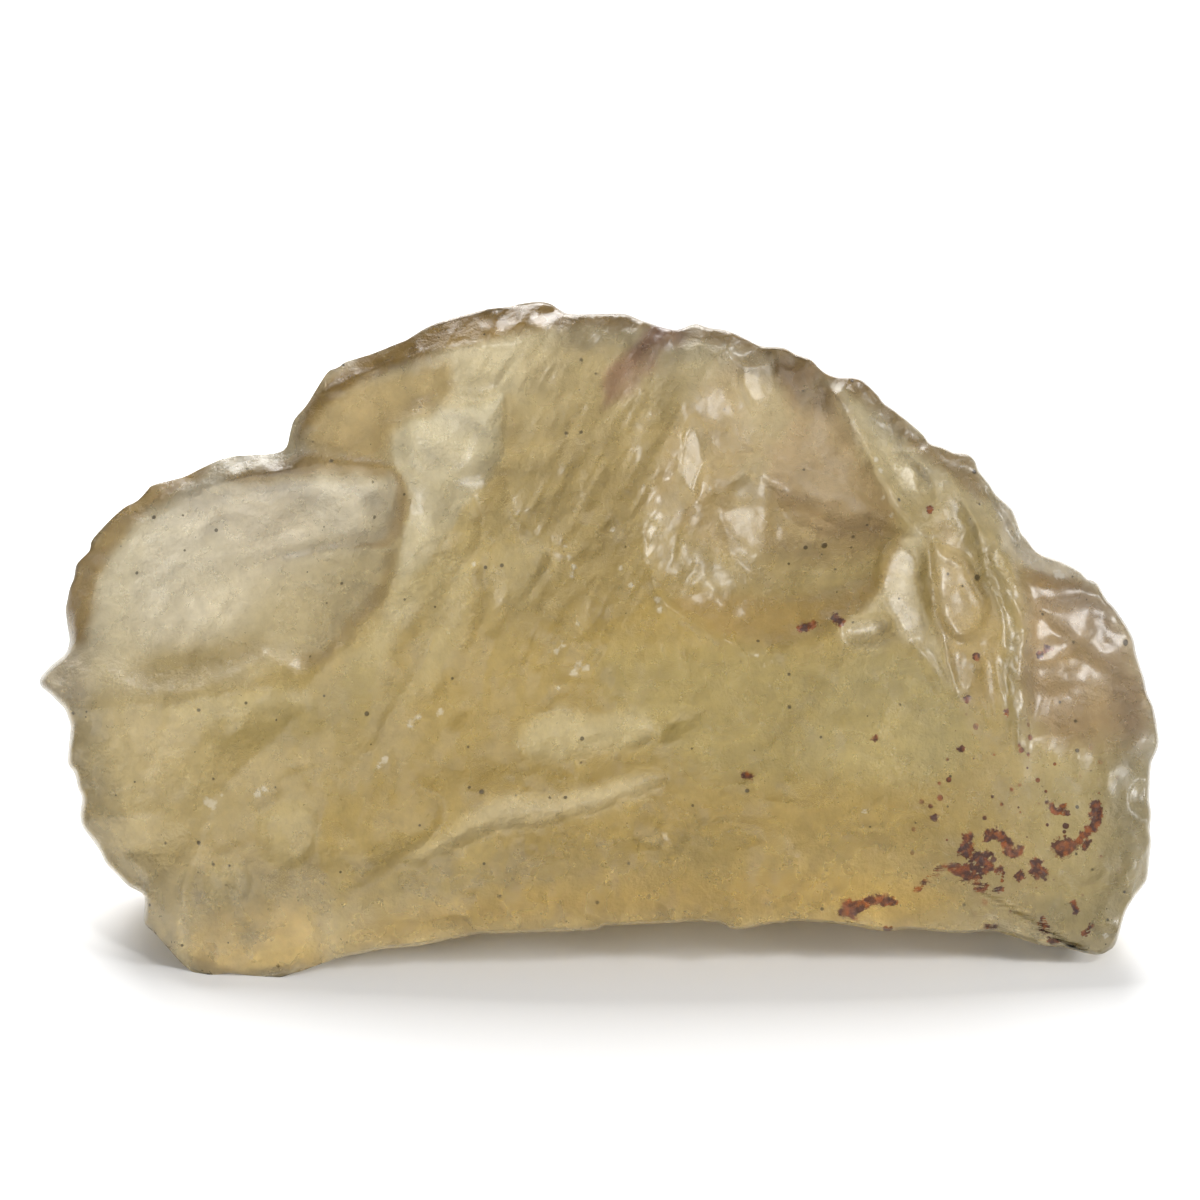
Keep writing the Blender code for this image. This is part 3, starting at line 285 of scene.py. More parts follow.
# The flake scars behind, as ovals: centre, half sizes, turn in degrees, depth, how steep the
# wall is, and the pitch and height of the ripples.
BACK_FLAKES = [
    ((-7.0, 7.4), (11.5, 9.0), -12, 2.2, 2.2, 2.3, 0.13),
    ((12.0, 5.2), (10.0, 8.4), 14, 1.8, 2.2, 1.9, 0.11),
    ((-21.0, 3.0), (6.8, 6.4), 0, 0.8, 2.4, 1.6, 0.08),
    ((3.5, -3.4), (10.5, 4.8), 4, 1.2, 2.4, 1.7, 0.10),
    ((-14.0, -4.4), (5.4, 4.8), 20, 0.8, 2.2, 1.4, 0.08),
    ((20.0, -4.0), (5.2, 5.0), -20, 0.7, 2.4, 1.3, 0.06),
    ((3.0, 13.4), (3.6, 3.0), 0, 0.5, 2.4, 1.0, 0.0),
    ((-13.0, 12.2), (3.0, 2.4), 30, 0.4, 2.4, 1.0, 0.0),
]


def smooth_line(points, steps, closed):
    """A smooth line through the points: each span is the Catmull-Rom cubic."""
    p1 = np.array(points, dtype=float)
    if not closed:
        p1 = np.vstack([2 * p1[0] - p1[1], p1, 2 * p1[-1] - p1[-2]])
    p0, p2, p3 = np.roll(p1, 1, 0), np.roll(p1, -1, 0), np.roll(p1, -2, 0)
    t = np.linspace(0.0, 1.0, steps, endpoint=False)[None, :, None]
    p0, p1, p2, p3 = (p[:, None, :] for p in (p0, p1, p2, p3))
    curve = 0.5 * (2 * p1 + (p2 - p0) * t + (2 * p0 - 5 * p1 + 4 * p2 - p3) * t**2
                   + (3 * p1 - p0 - 3 * p2 + p3) * t**3)
    curve = curve.reshape(-1, 2)
    return curve if closed else curve[steps:-2 * steps + 1]


def smooth_min(p, q, blend):
    """The lower of two heights, with the crease between them worn round over blend."""
    share = np.clip(0.5 + 0.5 * (q - p) / blend, 0.0, 1.0)
    return q + (p - q) * share - blend * share * (1.0 - share)


def smooth_max(p, q, blend):
    """The higher of two heights, worn in the same way."""
    return -smooth_min(-p, -q, blend)


def smooth_step(value, low, high):
    """0 below low, 1 above high, and an S-shaped ease between them."""
    t = np.clip((value - low) / (high - low), 0.0, 1.0)
    return t * t * (3.0 - 2.0 * t)


def lattice_height(i, j, start):
    """A fixed random height for each corner of a square lattice, from -1 to 1."""
    return 2.0 * np.mod(np.sin(i * 127.1 + j * 311.7 + start * 74.7) * 43758.5453, 1.0) - 1.0


def unevenness(a, b, pitch, start):
    """Smooth rises and dips about pitch apart: lattice heights eased from corner to corner,
    with a second, finer lattice turned across the first."""
    total = 0.0
    for octave, share in ((1.0, 0.75), (2.3, 0.35)):
        turn = start + octave
        u = (a * cos(turn) + b * sin(turn)) * octave / pitch
        v = (b * cos(turn) - a * sin(turn)) * octave / pitch
        i, j = np.floor(u), np.floor(v)
        s, t = smooth_step(u - i, 0.0, 1.0), smooth_step(v - j, 0.0, 1.0)
        near = lattice_height(i, j, start) * (1 - s) + lattice_height(i + 1, j, start) * s
        far = lattice_height(i, j + 1, start) * (1 - s) + lattice_height(i + 1, j + 1, start) * s
        total = total + share * (near * (1 - t) + far * t)
    return total


def flake(a, b, centre, half_size, turn, depth, steepness, ripple_pitch, ripple_height):
    """What one blow took away: a bowl, depth times one minus the distance raised to the
    steepness, with sine ripples in rings round the blow at the upper end of the oval."""
    ca, cb = cos(radians(turn)), sin(radians(turn))
    s = ((a - centre[0]) * ca + (b - centre[1]) * cb) / half_size[0]
    t = ((b - centre[1]) * ca - (a - centre[0]) * cb) / half_size[1]
    r = np.sqrt(s * s + t * t)
    spread = np.hypot(s * half_size[0], (t - 1.0) * half_size[1])
    rings = ripple_height * np.sin(2 * pi * spread / ripple_pitch)
    return depth * np.clip(1.0 - r**steepness, 0.0, None) + rings * np.clip(2.0 - 2.0 * r, 0.0, 1.0)


def right_of(a, b, line):
    """How far each point lies to the right of a line of points that runs down the face."""
    down = np.array(line)[::-1]
    return a - np.interp(b, down[:, 1], down[:, 0])


def along_line(a, b, line, closed):
    """For each point: its distance to the nearest span of the line, on which side of that
    span it lies, and how far along the whole line, from 0 to 1, the nearest place is."""
    ends = np.roll(line, -1, 0) if closed else line[1:]
    spans = list(zip(line, ends))
    gap, side, share = np.full(a.shape, np.inf), np.zeros(a.shape), np.zeros(a.shape)
    for k, ((sa, sb), (ea, eb)) in enumerate(spans):
        da, db = ea - sa, eb - sb
        along = np.clip(((a - sa) * da + (b - sb) * db) / (da * da + db * db + 1e-12), 0.0, 1.0)
        away = np.hypot(a - sa - along * da, b - sb - along * db)
        closer = away < gap
        gap = np.where(closer, away, gap)
        side = np.where(closer, np.sign(da * (b - sb) - db * (a - sa)), side)
        share = np.where(closer, (k + along) / len(spans), share)
    return gap, side, share


def depth_inside(a, b, points, beyond):
    """Distance to a smooth closed line, above zero inside it. Points more than beyond away
    from its box are left at minus beyond."""
    line = smooth_line(points, 4, True)
    low, high = line.min(0) - beyond, line.max(0) + beyond
    near = (a > low[0]) & (a < high[0]) & (b > low[1]) & (b < high[1])
    na, nb = a[near], b[near]
    inside = np.zeros(na.shape, dtype=bool)
    for (sa, sb), (ea, eb) in zip(line, np.roll(line, -1, 0)):
        if sb != eb:
            inside ^= ((sb > nb) != (eb > nb)) & (na < sa + (nb - sb) * (ea - sa) / (eb - sb))
    result = np.full(a.shape, -float(beyond))
    result[near] = np.where(inside, 1, -1) * along_line(na, nb, line, True)[0]
    return result


def scar(a, b, points, depth, reach, growth):
    """A flake scar with a drawn line round it: from that line its wall goes down as
    1 - (1 - distance / reach)^2, to a floor that may deepen to the right or upwards."""
    into = np.clip(depth_inside(a, b, points, 0.1) / reach, 0.0, 1.0)
    middle = np.mean(points, axis=0)
    floor = depth + growth[0] * (a - middle[0]) + growth[1] * (b - middle[1])
    return np.clip(floor, 0.0, None) * (1.0 - (1.0 - into) ** 2)


def crest(a, b, points, height, left_width, right_width):
    """A worn crest along a line: its height times exp(-distance / width), with a width for
    each side, low at both ends."""
    gap, side, share = along_line(a, b, smooth_line(points, 4, False), False)
    width = np.where(side > 0, left_width, right_width)
    return height * np.exp(-gap / width) * np.clip(np.sin(pi * share), 0.0, 1.0) ** 0.5


def in_oval(a, b, centre, half_size, turn, flatness):
    """How far each point shares in a flat place: flatness inside, easing to 0 at its edge."""
    ca, cb = cos(radians(turn)), sin(radians(turn))
    s = ((a - centre[0]) * ca + (b - centre[1]) * cb) / half_size[0]
    t = ((b - centre[1]) * ca - (a - centre[0]) * cb) / half_size[1]
    return flatness * smooth_step(1.25 - np.hypot(s, t), 0.0, 0.5)


def front(a, b):
    """Height of the broad face: a low dome that falls away past its two ridges, less what
    each flake took, plus its crests, swells, ripples, the flow grain of the melt and sand
    wear. Flat places are eased toward a plane at their own height, which falls to the right
    and upwards."""
    wa = a + 0.55 * unevenness(a, b, 5.0, 0.3)
    wb = b + 0.55 * unevenness(a, b, 5.0, 1.1)

    # The dome, how it falls away past the ridges, and the step down into the groove.
    h = 0.9 - 0.0026 * (a - 2.0) ** 2 - 0.030 * np.clip(b, 0.0, None) ** 1.6
    h = h - 0.012 * np.clip(-b - 9.5, 0.0, None) ** 2.2
    past_left = np.clip(-right_of(wa, wb, LEFT_RIDGE), 0.0, None)
    foot = smooth_step(-wb, 8.0, 10.0)
    wing = smooth_step(wb, -3.0, 2.0)
    h = h - 0.75 * smooth_step(past_left, 0.0, 2.2) * wing - 0.16 * past_left * (1.0 - foot)
    h = h - 0.55 * np.clip(past_left - 0.4, 0.0, 3.0) * foot
    past_right = np.clip(right_of(wa, wb, RIGHT_RIDGE), 0.0, None)
    h = h - 0.27 * past_right * smooth_step(wb, -8.0, 1.0)
    past_groove = right_of(wa, wb, GROOVE)
    upper = smooth_step(wb, -9.0, -1.0)
    step = 0.5 * smooth_step(past_groove, -0.4, 0.4) + 0.08 * np.clip(past_groove, 0.0, None)
    h = h - step * upper

    # Flakes and crests, their drawn lines wavering a little.
    na = a + 0.16 * unevenness(a, b, 1.3, 3.1)
    nb = b + 0.16 * unevenness(a, b, 1.3, 4.7)
    for row in SCARS:
        h = h - scar(na, nb, *row)
    for row in CREASES:
        h = h + crest(na, nb, *row)

    # Broad swells on the lower body, and flow lines that run up to the right.
    bent = wb + 0.10 * np.abs(wa - 4.0) + 0.8 * unevenness(a, b, 9.0, 0.9)
    swell = np.sin(2 * pi * bent / 3.4 + 0.7) * (0.6 + 0.5 * unevenness(a, b, 8.0, 2.9))
    h = h + SWELL * swell * smooth_step(-wb, 2.0, 5.5) * smooth_step(wb, -14.5, -12.0)
    along, across = a * 0.5 + b * 0.87, a * 0.87 - b * 0.5
    h = h + FLOW * unevenness(0.35 * along, across, 1.5, 2.2) * smooth_step(wb, -9.0, -3.0)
    h = h + WAVES * unevenness(a, b, 3.2, 4.0)

    # Flat places that catch the window's light.
    flat = np.zeros(a.shape)
    for row in GLINTS:
        share = in_oval(na, nb, *row)
        lean = LEAN_RIGHT * (a - row[0][0]) + LEAN_UP * (b - row[0][1])
        height = np.sum(share * (h + lean)) / np.sum(share)
        h = h + share * (height - lean - h)
        flat = np.maximum(flat, share)

    # Small ripples with sharp crests, in patches, mostly on the lower body.
    crests = (1.0 - np.abs(unevenness(wa, 1.6 * wb, 2.2, 3.7))) ** 3
    patchy = smooth_step(unevenness(a, b, 6.0, 5.9), -0.3, 0.3) * smooth_step(wa, -10.0, -6.0)
    h = h + RIPPLES * crests * patchy * smooth_step(-wb, -4.0, 0.0) * (1.0 - flat)
    grain = smooth_step(wb, -3.0, 1.0) * smooth_step(wa, -9.0, -4.0) * smooth_step(-wa, -7.0, -2.0)
    h = h + GRAIN * grain * unevenness(0.22 * along, across, 0.55, 5.5) * (1.0 - flat)
    wear = WEAR * unevenness(a, b, 1.1, 6.1) + FINE_WEAR * unevenness(a, b, 0.45, 6.9)
    return h + wear * (1.0 - 0.65 * flat)


def back(a, b, face):
    """Height of what lies behind: the underside, the upright back and its flakes."""
    wa = a + 0.7 * unevenness(a, b, 6.0, 5.2)
    wb = b + 0.7 * unevenness(a, b, 6.0, 6.4)
    rear = -13.0 + 0.52 * wb + 0.0060 * wa**2
    left_blade = -9.6 - 0.16 * (wa + 14.0)
    right_end = -11.5 + 0.72 * (wa - 18.0)
    h = smooth_max(smooth_max(rear, left_blade, 2.0), right_end, 1.6)
    for row in BACK_FLAKES:
        h = h + flake(wa, wb, *row)
    h = h + 0.22 * unevenness(a, b, 3.0, 7.7) + 0.06 * unevenness(a, b, 1.1, 8.3)
    h = h - 0.18 * (1.0 - np.abs(unevenness(1.4 * wa, wb, 3.0, 4.4))) ** 3
    h = smooth_min(h, face - THINNEST, 1.2)

    # The underside: near the table's level, and lower at the feet, where the table cuts it.
    level = (FLOOR - b * cos(LEAN)) / sin(LEAN)
    level = level + 1.0 + 0.9 * unevenness(a, b, 7.0, 9.0)
    for centre, radius, drop in FEET:
        away = np.hypot(a - centre[0], b - centre[1]) / radius
        level = level - drop * np.exp(-away**2)
    return smooth_max(h, smooth_min(level, face - 0.8, 0.6), 0.8)


def chips(a, b, rim, number, start):
    """Small bites along the edge: number shallow bowls, unevenly spaced and sized."""
    k = np.arange(number)
    where = ((k + 0.4 * lattice_height(k, 0, start)) / number * len(rim)).astype(int) % len(rim)
    size = 0.5 + 0.45 * (lattice_height(k, 1, start) + 1.0)
    lost = np.zeros(a.shape)
    for (ca, cb), radius in zip(rim[where], size):
        r = np.hypot(a - ca, b - cb) / radius
        lost = np.maximum(lost, 0.30 * radius * np.clip(1.0 - r * r, 0.0, None))
    return lost


# Both sheets use one grid: the square is drawn out to a disc, and the disc to the outline. Rays
# from the middle measure how far the outline lies each way. The inner grid lines follow an
# eased copy of it, and the last ones the outline itself.
s, t = np.meshgrid(np.linspace(-1, 1, ACROSS + 1), np.linspace(-1, 1, UP + 1), indexing="ij")
disc_a, disc_b = s * np.sqrt(1 - t * t / 2), t * np.sqrt(1 - s * s / 2)
rim = smooth_line(OUTLINE, 6, True)
turns = np.radians(np.arange(-180.0, 180.0, RAY_STEP))[:, None]
sa, sb = rim.T
ea, eb = np.roll(rim, -1, 0).T
bend = (ea - sa) * np.sin(turns) - (eb - sb) * np.cos(turns)
bend = np.where(np.abs(bend) < 1e-9, 1e-9, bend)
share = (sb * np.cos(turns) - sa * np.sin(turns)) / bend
reach = (sb * ea - sa * eb) / bend
hits = (share >= 0.0) & (share <= 1.0) & (reach > 0.0)
to_rim = np.where(hits, reach, 0.0).max(1)
weights = np.hanning(EASED_RAYS) / np.hanning(EASED_RAYS).sum()
wrap = EASED_RAYS // 2
eased = np.convolve(np.concatenate([to_rim[-wrap:], to_rim, to_rim[:wrap]]), weights, "valid")
angle, radius = np.arctan2(disc_b, disc_a), np.hypot(disc_a, disc_b)
near = np.interp(angle, turns[:, 0], eased, period=2 * pi)
full = np.interp(angle, turns[:, 0], to_rim, period=2 * pi)
reach = radius * (near + (full - near) * radius**4)
a, b = (reach * np.cos(angle)).ravel(), (reach * np.sin(angle)).ravel()

# The sheets meet at the edge, and each rises from it to its own surface over its worn slope.
face = front(a, b)
rear = back(a, b, face)
edge = face + (rear - face) * EDGE_SHARE
from_edge = along_line(a, b, rim, True)[0]
slopes = np.array(SLOPES)
front_slope = np.interp(np.degrees(np.arctan2(b, a)), slopes[:, 0], slopes[:, 1])
front_slope = front_slope * (1.0 + 0.25 * unevenness(a, b, 2.0, 1.9))
sheets = []
for surface, reach, sign, start in ((face, front_slope, 1, 2.0), (rear, BACK_SLOPE, -1, 5.0)):
    rise = 1.0 - (1.0 - np.clip(from_edge / reach, 0.0, 1.0)) ** EDGE_ROUNDING
    bitten = sign * chips(a, b, rim, EDGE_CHIPS, start)
    sheets.append(edge + (surface - bitten - edge) * rise)
sheets[1] = np.minimum(sheets[1], sheets[0] - 0.08 * np.clip(from_edge / 0.3, 0.0, 1.0))

# The rear sheet borrows the front sheet's rim, so that the two close along one line. Its own
# cells are twice as wide, so those along the rim take in two spans of it.
index = np.arange(a.size).reshape(ACROSS + 1, UP + 1)
inner = np.zeros_like(index, dtype=bool)
inner[2:-2:2, 2:-2:2] = True
rear_index = index.copy()
rear_index[inner] = a.size + np.arange(inner.sum())
rear_index = rear_index[::2, ::2]
inner = inner.ravel()
a_all, b_all = np.concatenate([a, a[inner]]), np.concatenate([b, b[inner]])
h_all = np.concatenate([sheets[0], sheets[1][inner]])
thick = np.concatenate([face - rear, (face - rear)[inner]])


def quads(grid):
    """Four-sided cells of a grid of vertex numbers."""
    corners = [grid[:-1, :-1], grid[1:, :-1], grid[1:, 1:], grid[:-1, 1:]]
    return np.stack(corners, axis=-1).reshape(-1, 4)


# A rear cell along the rim takes in the vertex halfway along its outer side.
cells = quads(index).tolist()
steps = [(0, 1), (1, 2), (2, 3), (3, 0)]
halfway = {}
for line in (index[0], index[-1], index[:, 0], index[:, -1]):
    for first, middle, last in zip(line[:-2:2], line[1:-1:2], line[2::2]):
        halfway[(int(first), int(last))] = halfway[(int(last), int(first))] = int(middle)
for cell in quads(rear_index)[:, ::-1].tolist():
    loop = []
    for first, last in steps:
        loop.append(cell[first])
        if (cell[first], cell[last]) in halfway:
            loop.append(halfway[(cell[first], cell[last])])
    cells.append(loop)

# The face leans back, and the stone stands on the table with its box centred over the origin.
x = a_all
y = b_all * sin(LEAN) - h_all * cos(LEAN)
z = np.clip(b_all * cos(LEAN) + h_all * sin(LEAN) - FLOOR, 0.0, None)
shift_x, shift_y = (x.min() + x.max()) / 2, (y.min() + y.max()) / 2
place = np.stack([x - shift_x, y - shift_y, z], axis=1) * MM
stone_mesh = bpy.data.meshes.new("desert_glass_stone")
stone_mesh.from_pydata(place.tolist(), [], cells)
stone_mesh.shade_smooth()
stone = bpy.data.objects.new("desert_glass_stone", stone_mesh)
bpy.context.scene.collection.objects.link(stone)
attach(stone, "root")
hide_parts("desert_glass")


# Its colour. Iron tints the silica olive-yellow where it is thick and barely at all in the thin wing;
# the skin is frosted by sand. Rust and a purple-brown streak stain it in places. Painted shade on
# rims and walls, and painted highlights and sheen on the wing and some facets, are laid in with it.
def linear(hex_colour):
    """An sRGB hex colour turned to the linear values that shaders use."""
    values = np.array([int(hex_colour[k:k + 2], 16) / 255 for k in (0, 2, 4)])
    return np.where(values <= 0.04045, values / 12.92, ((values + 0.055) / 1.055) ** 2.4)


THIN_GLASS = "CBBF9E"
MIDDLE_GLASS = "BFAC78"
THICK_GLASS = "B9A05A"
BACK_STAIN = "9C8450"
FRESH_CHIP = "F0EADB"
DARK_SPECK = "1C1208"
RUST_BROWN = "9A420A"
RUST_DARK = "3A1404"
# Where the face differs from that: a line round the place, its colour, how softly it ends in
# millimetres, and how far it takes over. Some of these are painted shade or painted highlight and
# sheen, and their comments say so.
PATCHES = [
    # the whole wing, pale: painted sheen and painted glow of light through the thin glass
    ([(-26.2, 0.5), (-26, 3), (-24.5, 5.2), (-22.5, 7.2), (-19.8, 8.5), (-16, 9), (-12.5, 9.1),
      (-10.4, 8.8), (-9.8, 7.5), (-10, 5.2), (-10.4, 3.5), (-11.5, 1.9), (-13.5, -0.2), (-16, -0.8),
      (-20, -2), (-24, -2.5), (-26, -2)], "DCD2B8", 0.8, 0.6),
    # its thin middle, paler still: painted sheen and painted glow of light through it
    ([(-23.2, 3.8), (-23, 5.8), (-21.5, 7.1), (-19.2, 8.1), (-15.5, 8.4), (-12.5, 8.6),
      (-10.8, 8.4), (-10.4, 7.2), (-10.6, 6.1), (-11.8, 5.5), (-14, 4.9), (-16.5, 3), (-19.2, 0.5),
      (-22, 0), (-23.5, 1.5)], "EAE2D0", 1.2, 0.75),
    # dark foot of the wing: painted shade below its crest
    ([(-23.2, -0.9), (-21.2, 0.1), (-19.2, 0.4), (-17.1, 0.5), (-16.6, 0), (-18.2, -0.9),
      (-20, -1.7), (-22, -2), (-23.2, -1.8)], "A28E56", 0.8, 0.75),
    # brown wall under the notch: painted shade on a wall that faces down
    ([(-15.9, 9.4), (-15, 10), (-13, 9.9), (-10.8, 9.6), (-10.3, 9.2), (-11, 8.8), (-13.5, 8.8),
      (-15.5, 8.6), (-17.5, 8.4), (-18.8, 8.6), (-17.5, 9.1)], "94773E", 0.35, 0.9),
    # brown wall beside the step: painted shade on a wall that faces down and left
    ([(-10.3, 9.2), (-9.8, 8.5), (-9.5, 7.2), (-9.7, 6), (-10.2, 5.5), (-10.8, 5.2), (-12.5, 5.2),
      (-11, 5.7), (-10.3, 6.5), (-10.2, 7.6), (-10.4, 8.6)], "A08555", 0.18, 0.85),
    # left rim: painted shade, the bevel darkened brown
    ([(-27.1, 2), (-26.7, 4), (-25.8, 5.5), (-24, 7.5), (-22.5, 8.5), (-20, 9.3), (-19.8, 8.7),
      (-22, 7.5), (-23.5, 6.4), (-24.8, 4.5), (-25.4, 2.5), (-25.8, 0.5), (-26.7, 0.5)],
      "A28241", 0.4, 0.85),
    # lower side of the wing scar: painted shade on its wall
    ([(-10.2, 5), (-10.2, 3.5), (-10.8, 2.3), (-11.9, 1.3), (-13.1, -0.1), (-14.5, -1.1),
      (-15, -0.5), (-13.5, 0.5), (-12.4, 1.9), (-11.2, 3), (-10.7, 4.5)], "A78E5B", 0.35, 0.65),
    # top rim, left: painted shade, the bevel darkened brown
    ([(-15, 12), (-13.2, 14.4), (-10, 15.7), (-7.7, 16.8), (-5, 17.5), (-2, 17.5), (-2.2, 16.4),
      (-3.5, 15.9), (-5.5, 15.4), (-8, 14.9), (-11, 14), (-13, 12.9), (-14.5, 11.5), (-15.4, 10.5)],
      "8A6820", 0.45, 0.95),
    # facet by the notch
    ([(-15, 10.5), (-14.4, 12.2), (-12.8, 13.2), (-10, 14.1), (-7.5, 14.5), (-7.6, 12.8),
      (-8.8, 12), (-10.5, 11.2), (-11, 9.8), (-13.5, 9.9)], "A98A48", 0.5, 0.75),
    # pale facet: painted sheen
    ([(-10.4, 11.1), (-8.5, 11.7), (-7.5, 12.3), (-6, 12.4), (-4.9, 12.6), (-4.9, 10.8),
      (-5.2, 9.4), (-5.8, 8.2), (-6.9, 7.5), (-7.5, 6.5), (-8.2, 5), (-9.3, 3.8), (-9.8, 3),
      (-9.9, 5), (-9.4, 6.5), (-9.3, 7.8), (-9.8, 8.8), (-10.3, 9.8)], "E0D7BA", 0.2, 0.8),
    # pale band down from it: painted sheen
    ([(-9.8, 4.5), (-8.5, 4.5), (-9, 2.5), (-10.4, 0), (-12, -2.5), (-13, -2.5), (-12.8, -0.8),
      (-11.5, 0.8), (-10.4, 2.2)], "D0C49C", 0.5, 0.7),
    # sheen under the top edge
    ([(-7.2, 14.8), (-6.2, 15.2), (-5, 15), (-4.6, 14.7), (-5.5, 13.6), (-7, 13.1), (-7.4, 13.8)],
      "CDBE97", 0.3, 0.7),
    # brown band beside the pale facet
    ([(-4.8, 12.7), (-4, 12.5), (-4.1, 10), (-4.8, 8), (-6, 6.5), (-6.5, 6.8), (-5.4, 8.5),
      (-4.8, 10.5)], "A58D57", 0.35, 0.6),
    # top rim, right of the scallop: painted shade, the bevel darkened brown
    ([(-2, 17.1), (1, 17.1), (3.5, 16.2), (6, 16.4), (8, 15.5), (10.6, 14.8), (13.5, 13.5),
      (14.5, 12.3), (13.5, 12.7), (12, 13.3), (9.5, 14.2), (7, 15.2), (4.5, 15.6), (2, 16),
      (0, 16.2), (-2, 16.2)], "94743A", 0.35, 0.75),
    # shoulder rim: painted shade, the bevel darkened brown
    ([(12, 13.7), (13.4, 13.5), (14.4, 12.4), (15.2, 11.5), (17, 10.2), (18.5, 9.9), (19.2, 8.8),
      (19.5, 7.5), (18.5, 8), (17, 9.2), (15.2, 10.5), (14, 11.8), (12.5, 12.8)],
      "9A7C46", 0.35, 0.7),
    # streaky middle
    ([(-4, 12.5), (-3, 15.5), (2, 15.5), (4.5, 14), (4, 11), (2.5, 8.5), (2, 5.5), (0, 4.5),
      (-3, 5.5), (-4.5, 7.5)], "9E8752", 1.2, 0.6),
    # olive middle
    ([(-5, 7.5), (-2, 8.5), (2, 6.5), (2, 2.5), (0, 0.5), (-4, 0.5), (-6.5, 2.5), (-6.5, 5)],
      "B09C66", 1.0, 0.5),
    # pale hollow, middle
    ([(-5.4, 4.5), (-4.5, 5.2), (-2.8, 5.1), (-2.6, 3.8), (-3.5, 2.2), (-4.8, 1.9), (-5.6, 3)],
      "C4B383", 0.5, 0.7),
    # streak of pale
    ([(-8.5, 4.5), (-7.2, 5.2), (-6.5, 3.5), (-6.9, 0.5), (-8.5, -2), (-10, -2.5), (-9, 0.5)],
      "C9BA8C", 0.6, 0.6),
    # bowl, tan
    ([(4.5, 12.5), (7, 15), (10.6, 14.3), (12.5, 11.5), (14.5, 7.5), (15, 5.5), (13, 4.5),
      (9, 4.5), (5, 5.5), (3, 6.5), (2.5, 8)], "AA9064", 0.8, 0.7),
    # bowl, pinkish floor
    ([(10, 11.8), (8.8, 10.5), (8.5, 9), (9, 7.5), (10.5, 6.2), (12.5, 5.8), (14.5, 6),
      (14.8, 6.8), (13.9, 8.7), (13, 10.5), (12.1, 12.2), (11.1, 13.2)], "AE916C", 0.6, 0.65),
    # bowl, ochre crescent
    ([(4.5, 3.2), (6, 3), (8, 2.7), (11, 2.7), (13, 3.2), (14.5, 4.7), (15.2, 5.5), (14.5, 3.2),
      (13.1, 2), (11.8, 1.4), (10, 0.8), (8.9, 0.2), (7.6, 0.1), (6, 0.8), (4.5, 1.7), (3.5, 2.5)],
      "AE8F50", 0.5, 0.7),
    # bowl, olive lower wall
    ([(2.8, 5.5), (5, 5), (8, 4.8), (10, 3.8), (8, 3), (5, 3.2), (3.4, 3.5)], "B29D6A", 0.6, 0.6),
    # pale sheen in the bowl
    ([(7.2, 14.9), (8.6, 15), (9.1, 13.5), (9.5, 11.8), (8.5, 10.5), (7.5, 11), (7.1, 13)],
      "CABC96", 0.5, 0.3),
    ([(7, 9), (8.2, 9.4), (8.8, 8), (8, 6.8), (8.2, 4.5), (6.8, 4.2), (6.5, 6.5)],
      "CABC96", 0.5, 0.3),
    # left wall of the bowl: painted highlight
    ([(4.2, 11.2), (5.1, 11.2), (5.2, 8.5), (4.5, 7.5), (3.4, 6), (2.6, 6.1), (2.5, 7), (3.6, 8),
      (4, 9)], "CBBE9A", 0.4, 0.3),
    # lower left wall of the bowl: painted highlight
    ([(3.6, 4.8), (5, 4.6), (6.8, 4.5), (7.1, 3.4), (6, 3.2), (4.5, 3.8), (3.6, 4.1)],
      "CBBD96", 0.5, 0.3),
    # the bright facet: painted highlight
    ([(15.4, 5.6), (16.1, 5.8), (16.3, 4.5), (16, 3), (16.8, 1.4), (17.8, -2), (17.2, -1.5),
      (16.2, -0.1), (15, 0.6), (13.6, 0.2), (12.3, 0.5), (12.3, 1.2), (13.4, 2), (14.4, 3.6)],
      "E2D9BF", 0.4, 0.5),
    # dark wall beyond its ridge: painted shade
    ([(16.2, 5.8), (16.7, 5.2), (17, 3), (17.5, 0.5), (18.1, -2), (17.5, -1), (16.7, 1.2),
      (16.1, 3), (16.4, 4.5)], "A08C58", 0.18, 0.8),
    # pale window on the shoulder: painted highlight
    ([(14.9, 9.2), (15.7, 9.2), (16.2, 8.1), (16.1, 7.7), (15.2, 7.8), (14.8, 8.4)],
      "CDBF98", 0.2, 0.7),
    # shoulder, pinkish tan
    ([(17, 6.5), (19.2, 5.2), (20, 2.5), (20, -2.5), (18, -2), (17.4, 0.5), (17, 3)],
      "BFA678", 0.6, 0.6),
    # right lobe, pinkish, painted darker as shade against the right window's light
    ([(21.5, 4.5), (25, 3), (27, 0), (27.8, -3.5), (26, -5.5), (22.5, -4.5), (21.2, -1.5),
      (21.2, 2)], "94744C", 1.0, 0.8),
    # right lobe, brown patch
    ([(21.5, 1.4), (22.5, 1.2), (23.4, 0.2), (23.8, -0.5), (22.5, -0.6), (21.5, -0.2)],
      "AC8C58", 0.3, 0.7),
    # thin lip of the right lobe: painted highlight
    ([(20.1, 7.6), (20.8, 7), (21.3, 5.8), (22.2, 5.1), (24.2, 4.2), (25, 3.2), (24, 3.5),
      (22.5, 3.8), (21, 4.5), (20.4, 5.8)], "E0D5BD", 0.25, 0.75),
    # greenish body
    ([(0, -0.2), (5, 0), (10, -0.2), (15, 0), (18, -2.5), (18, -6), (12.5, -6.5), (6, -6.5),
      (2, -4.5)], "B2A56E", 1.4, 0.7),
    # pale dip in the body: painted sheen where it faces up
    ([(-4, -4.4), (-3.4, -3.5), (-2, -3.1), (0, -3.3), (2, -3.1), (2.5, -4.2), (0, -5),
      (-2, -5.3), (-3.8, -5.2)], "E4D8AE", 0.5, 0.75),
    # dark hollow below it
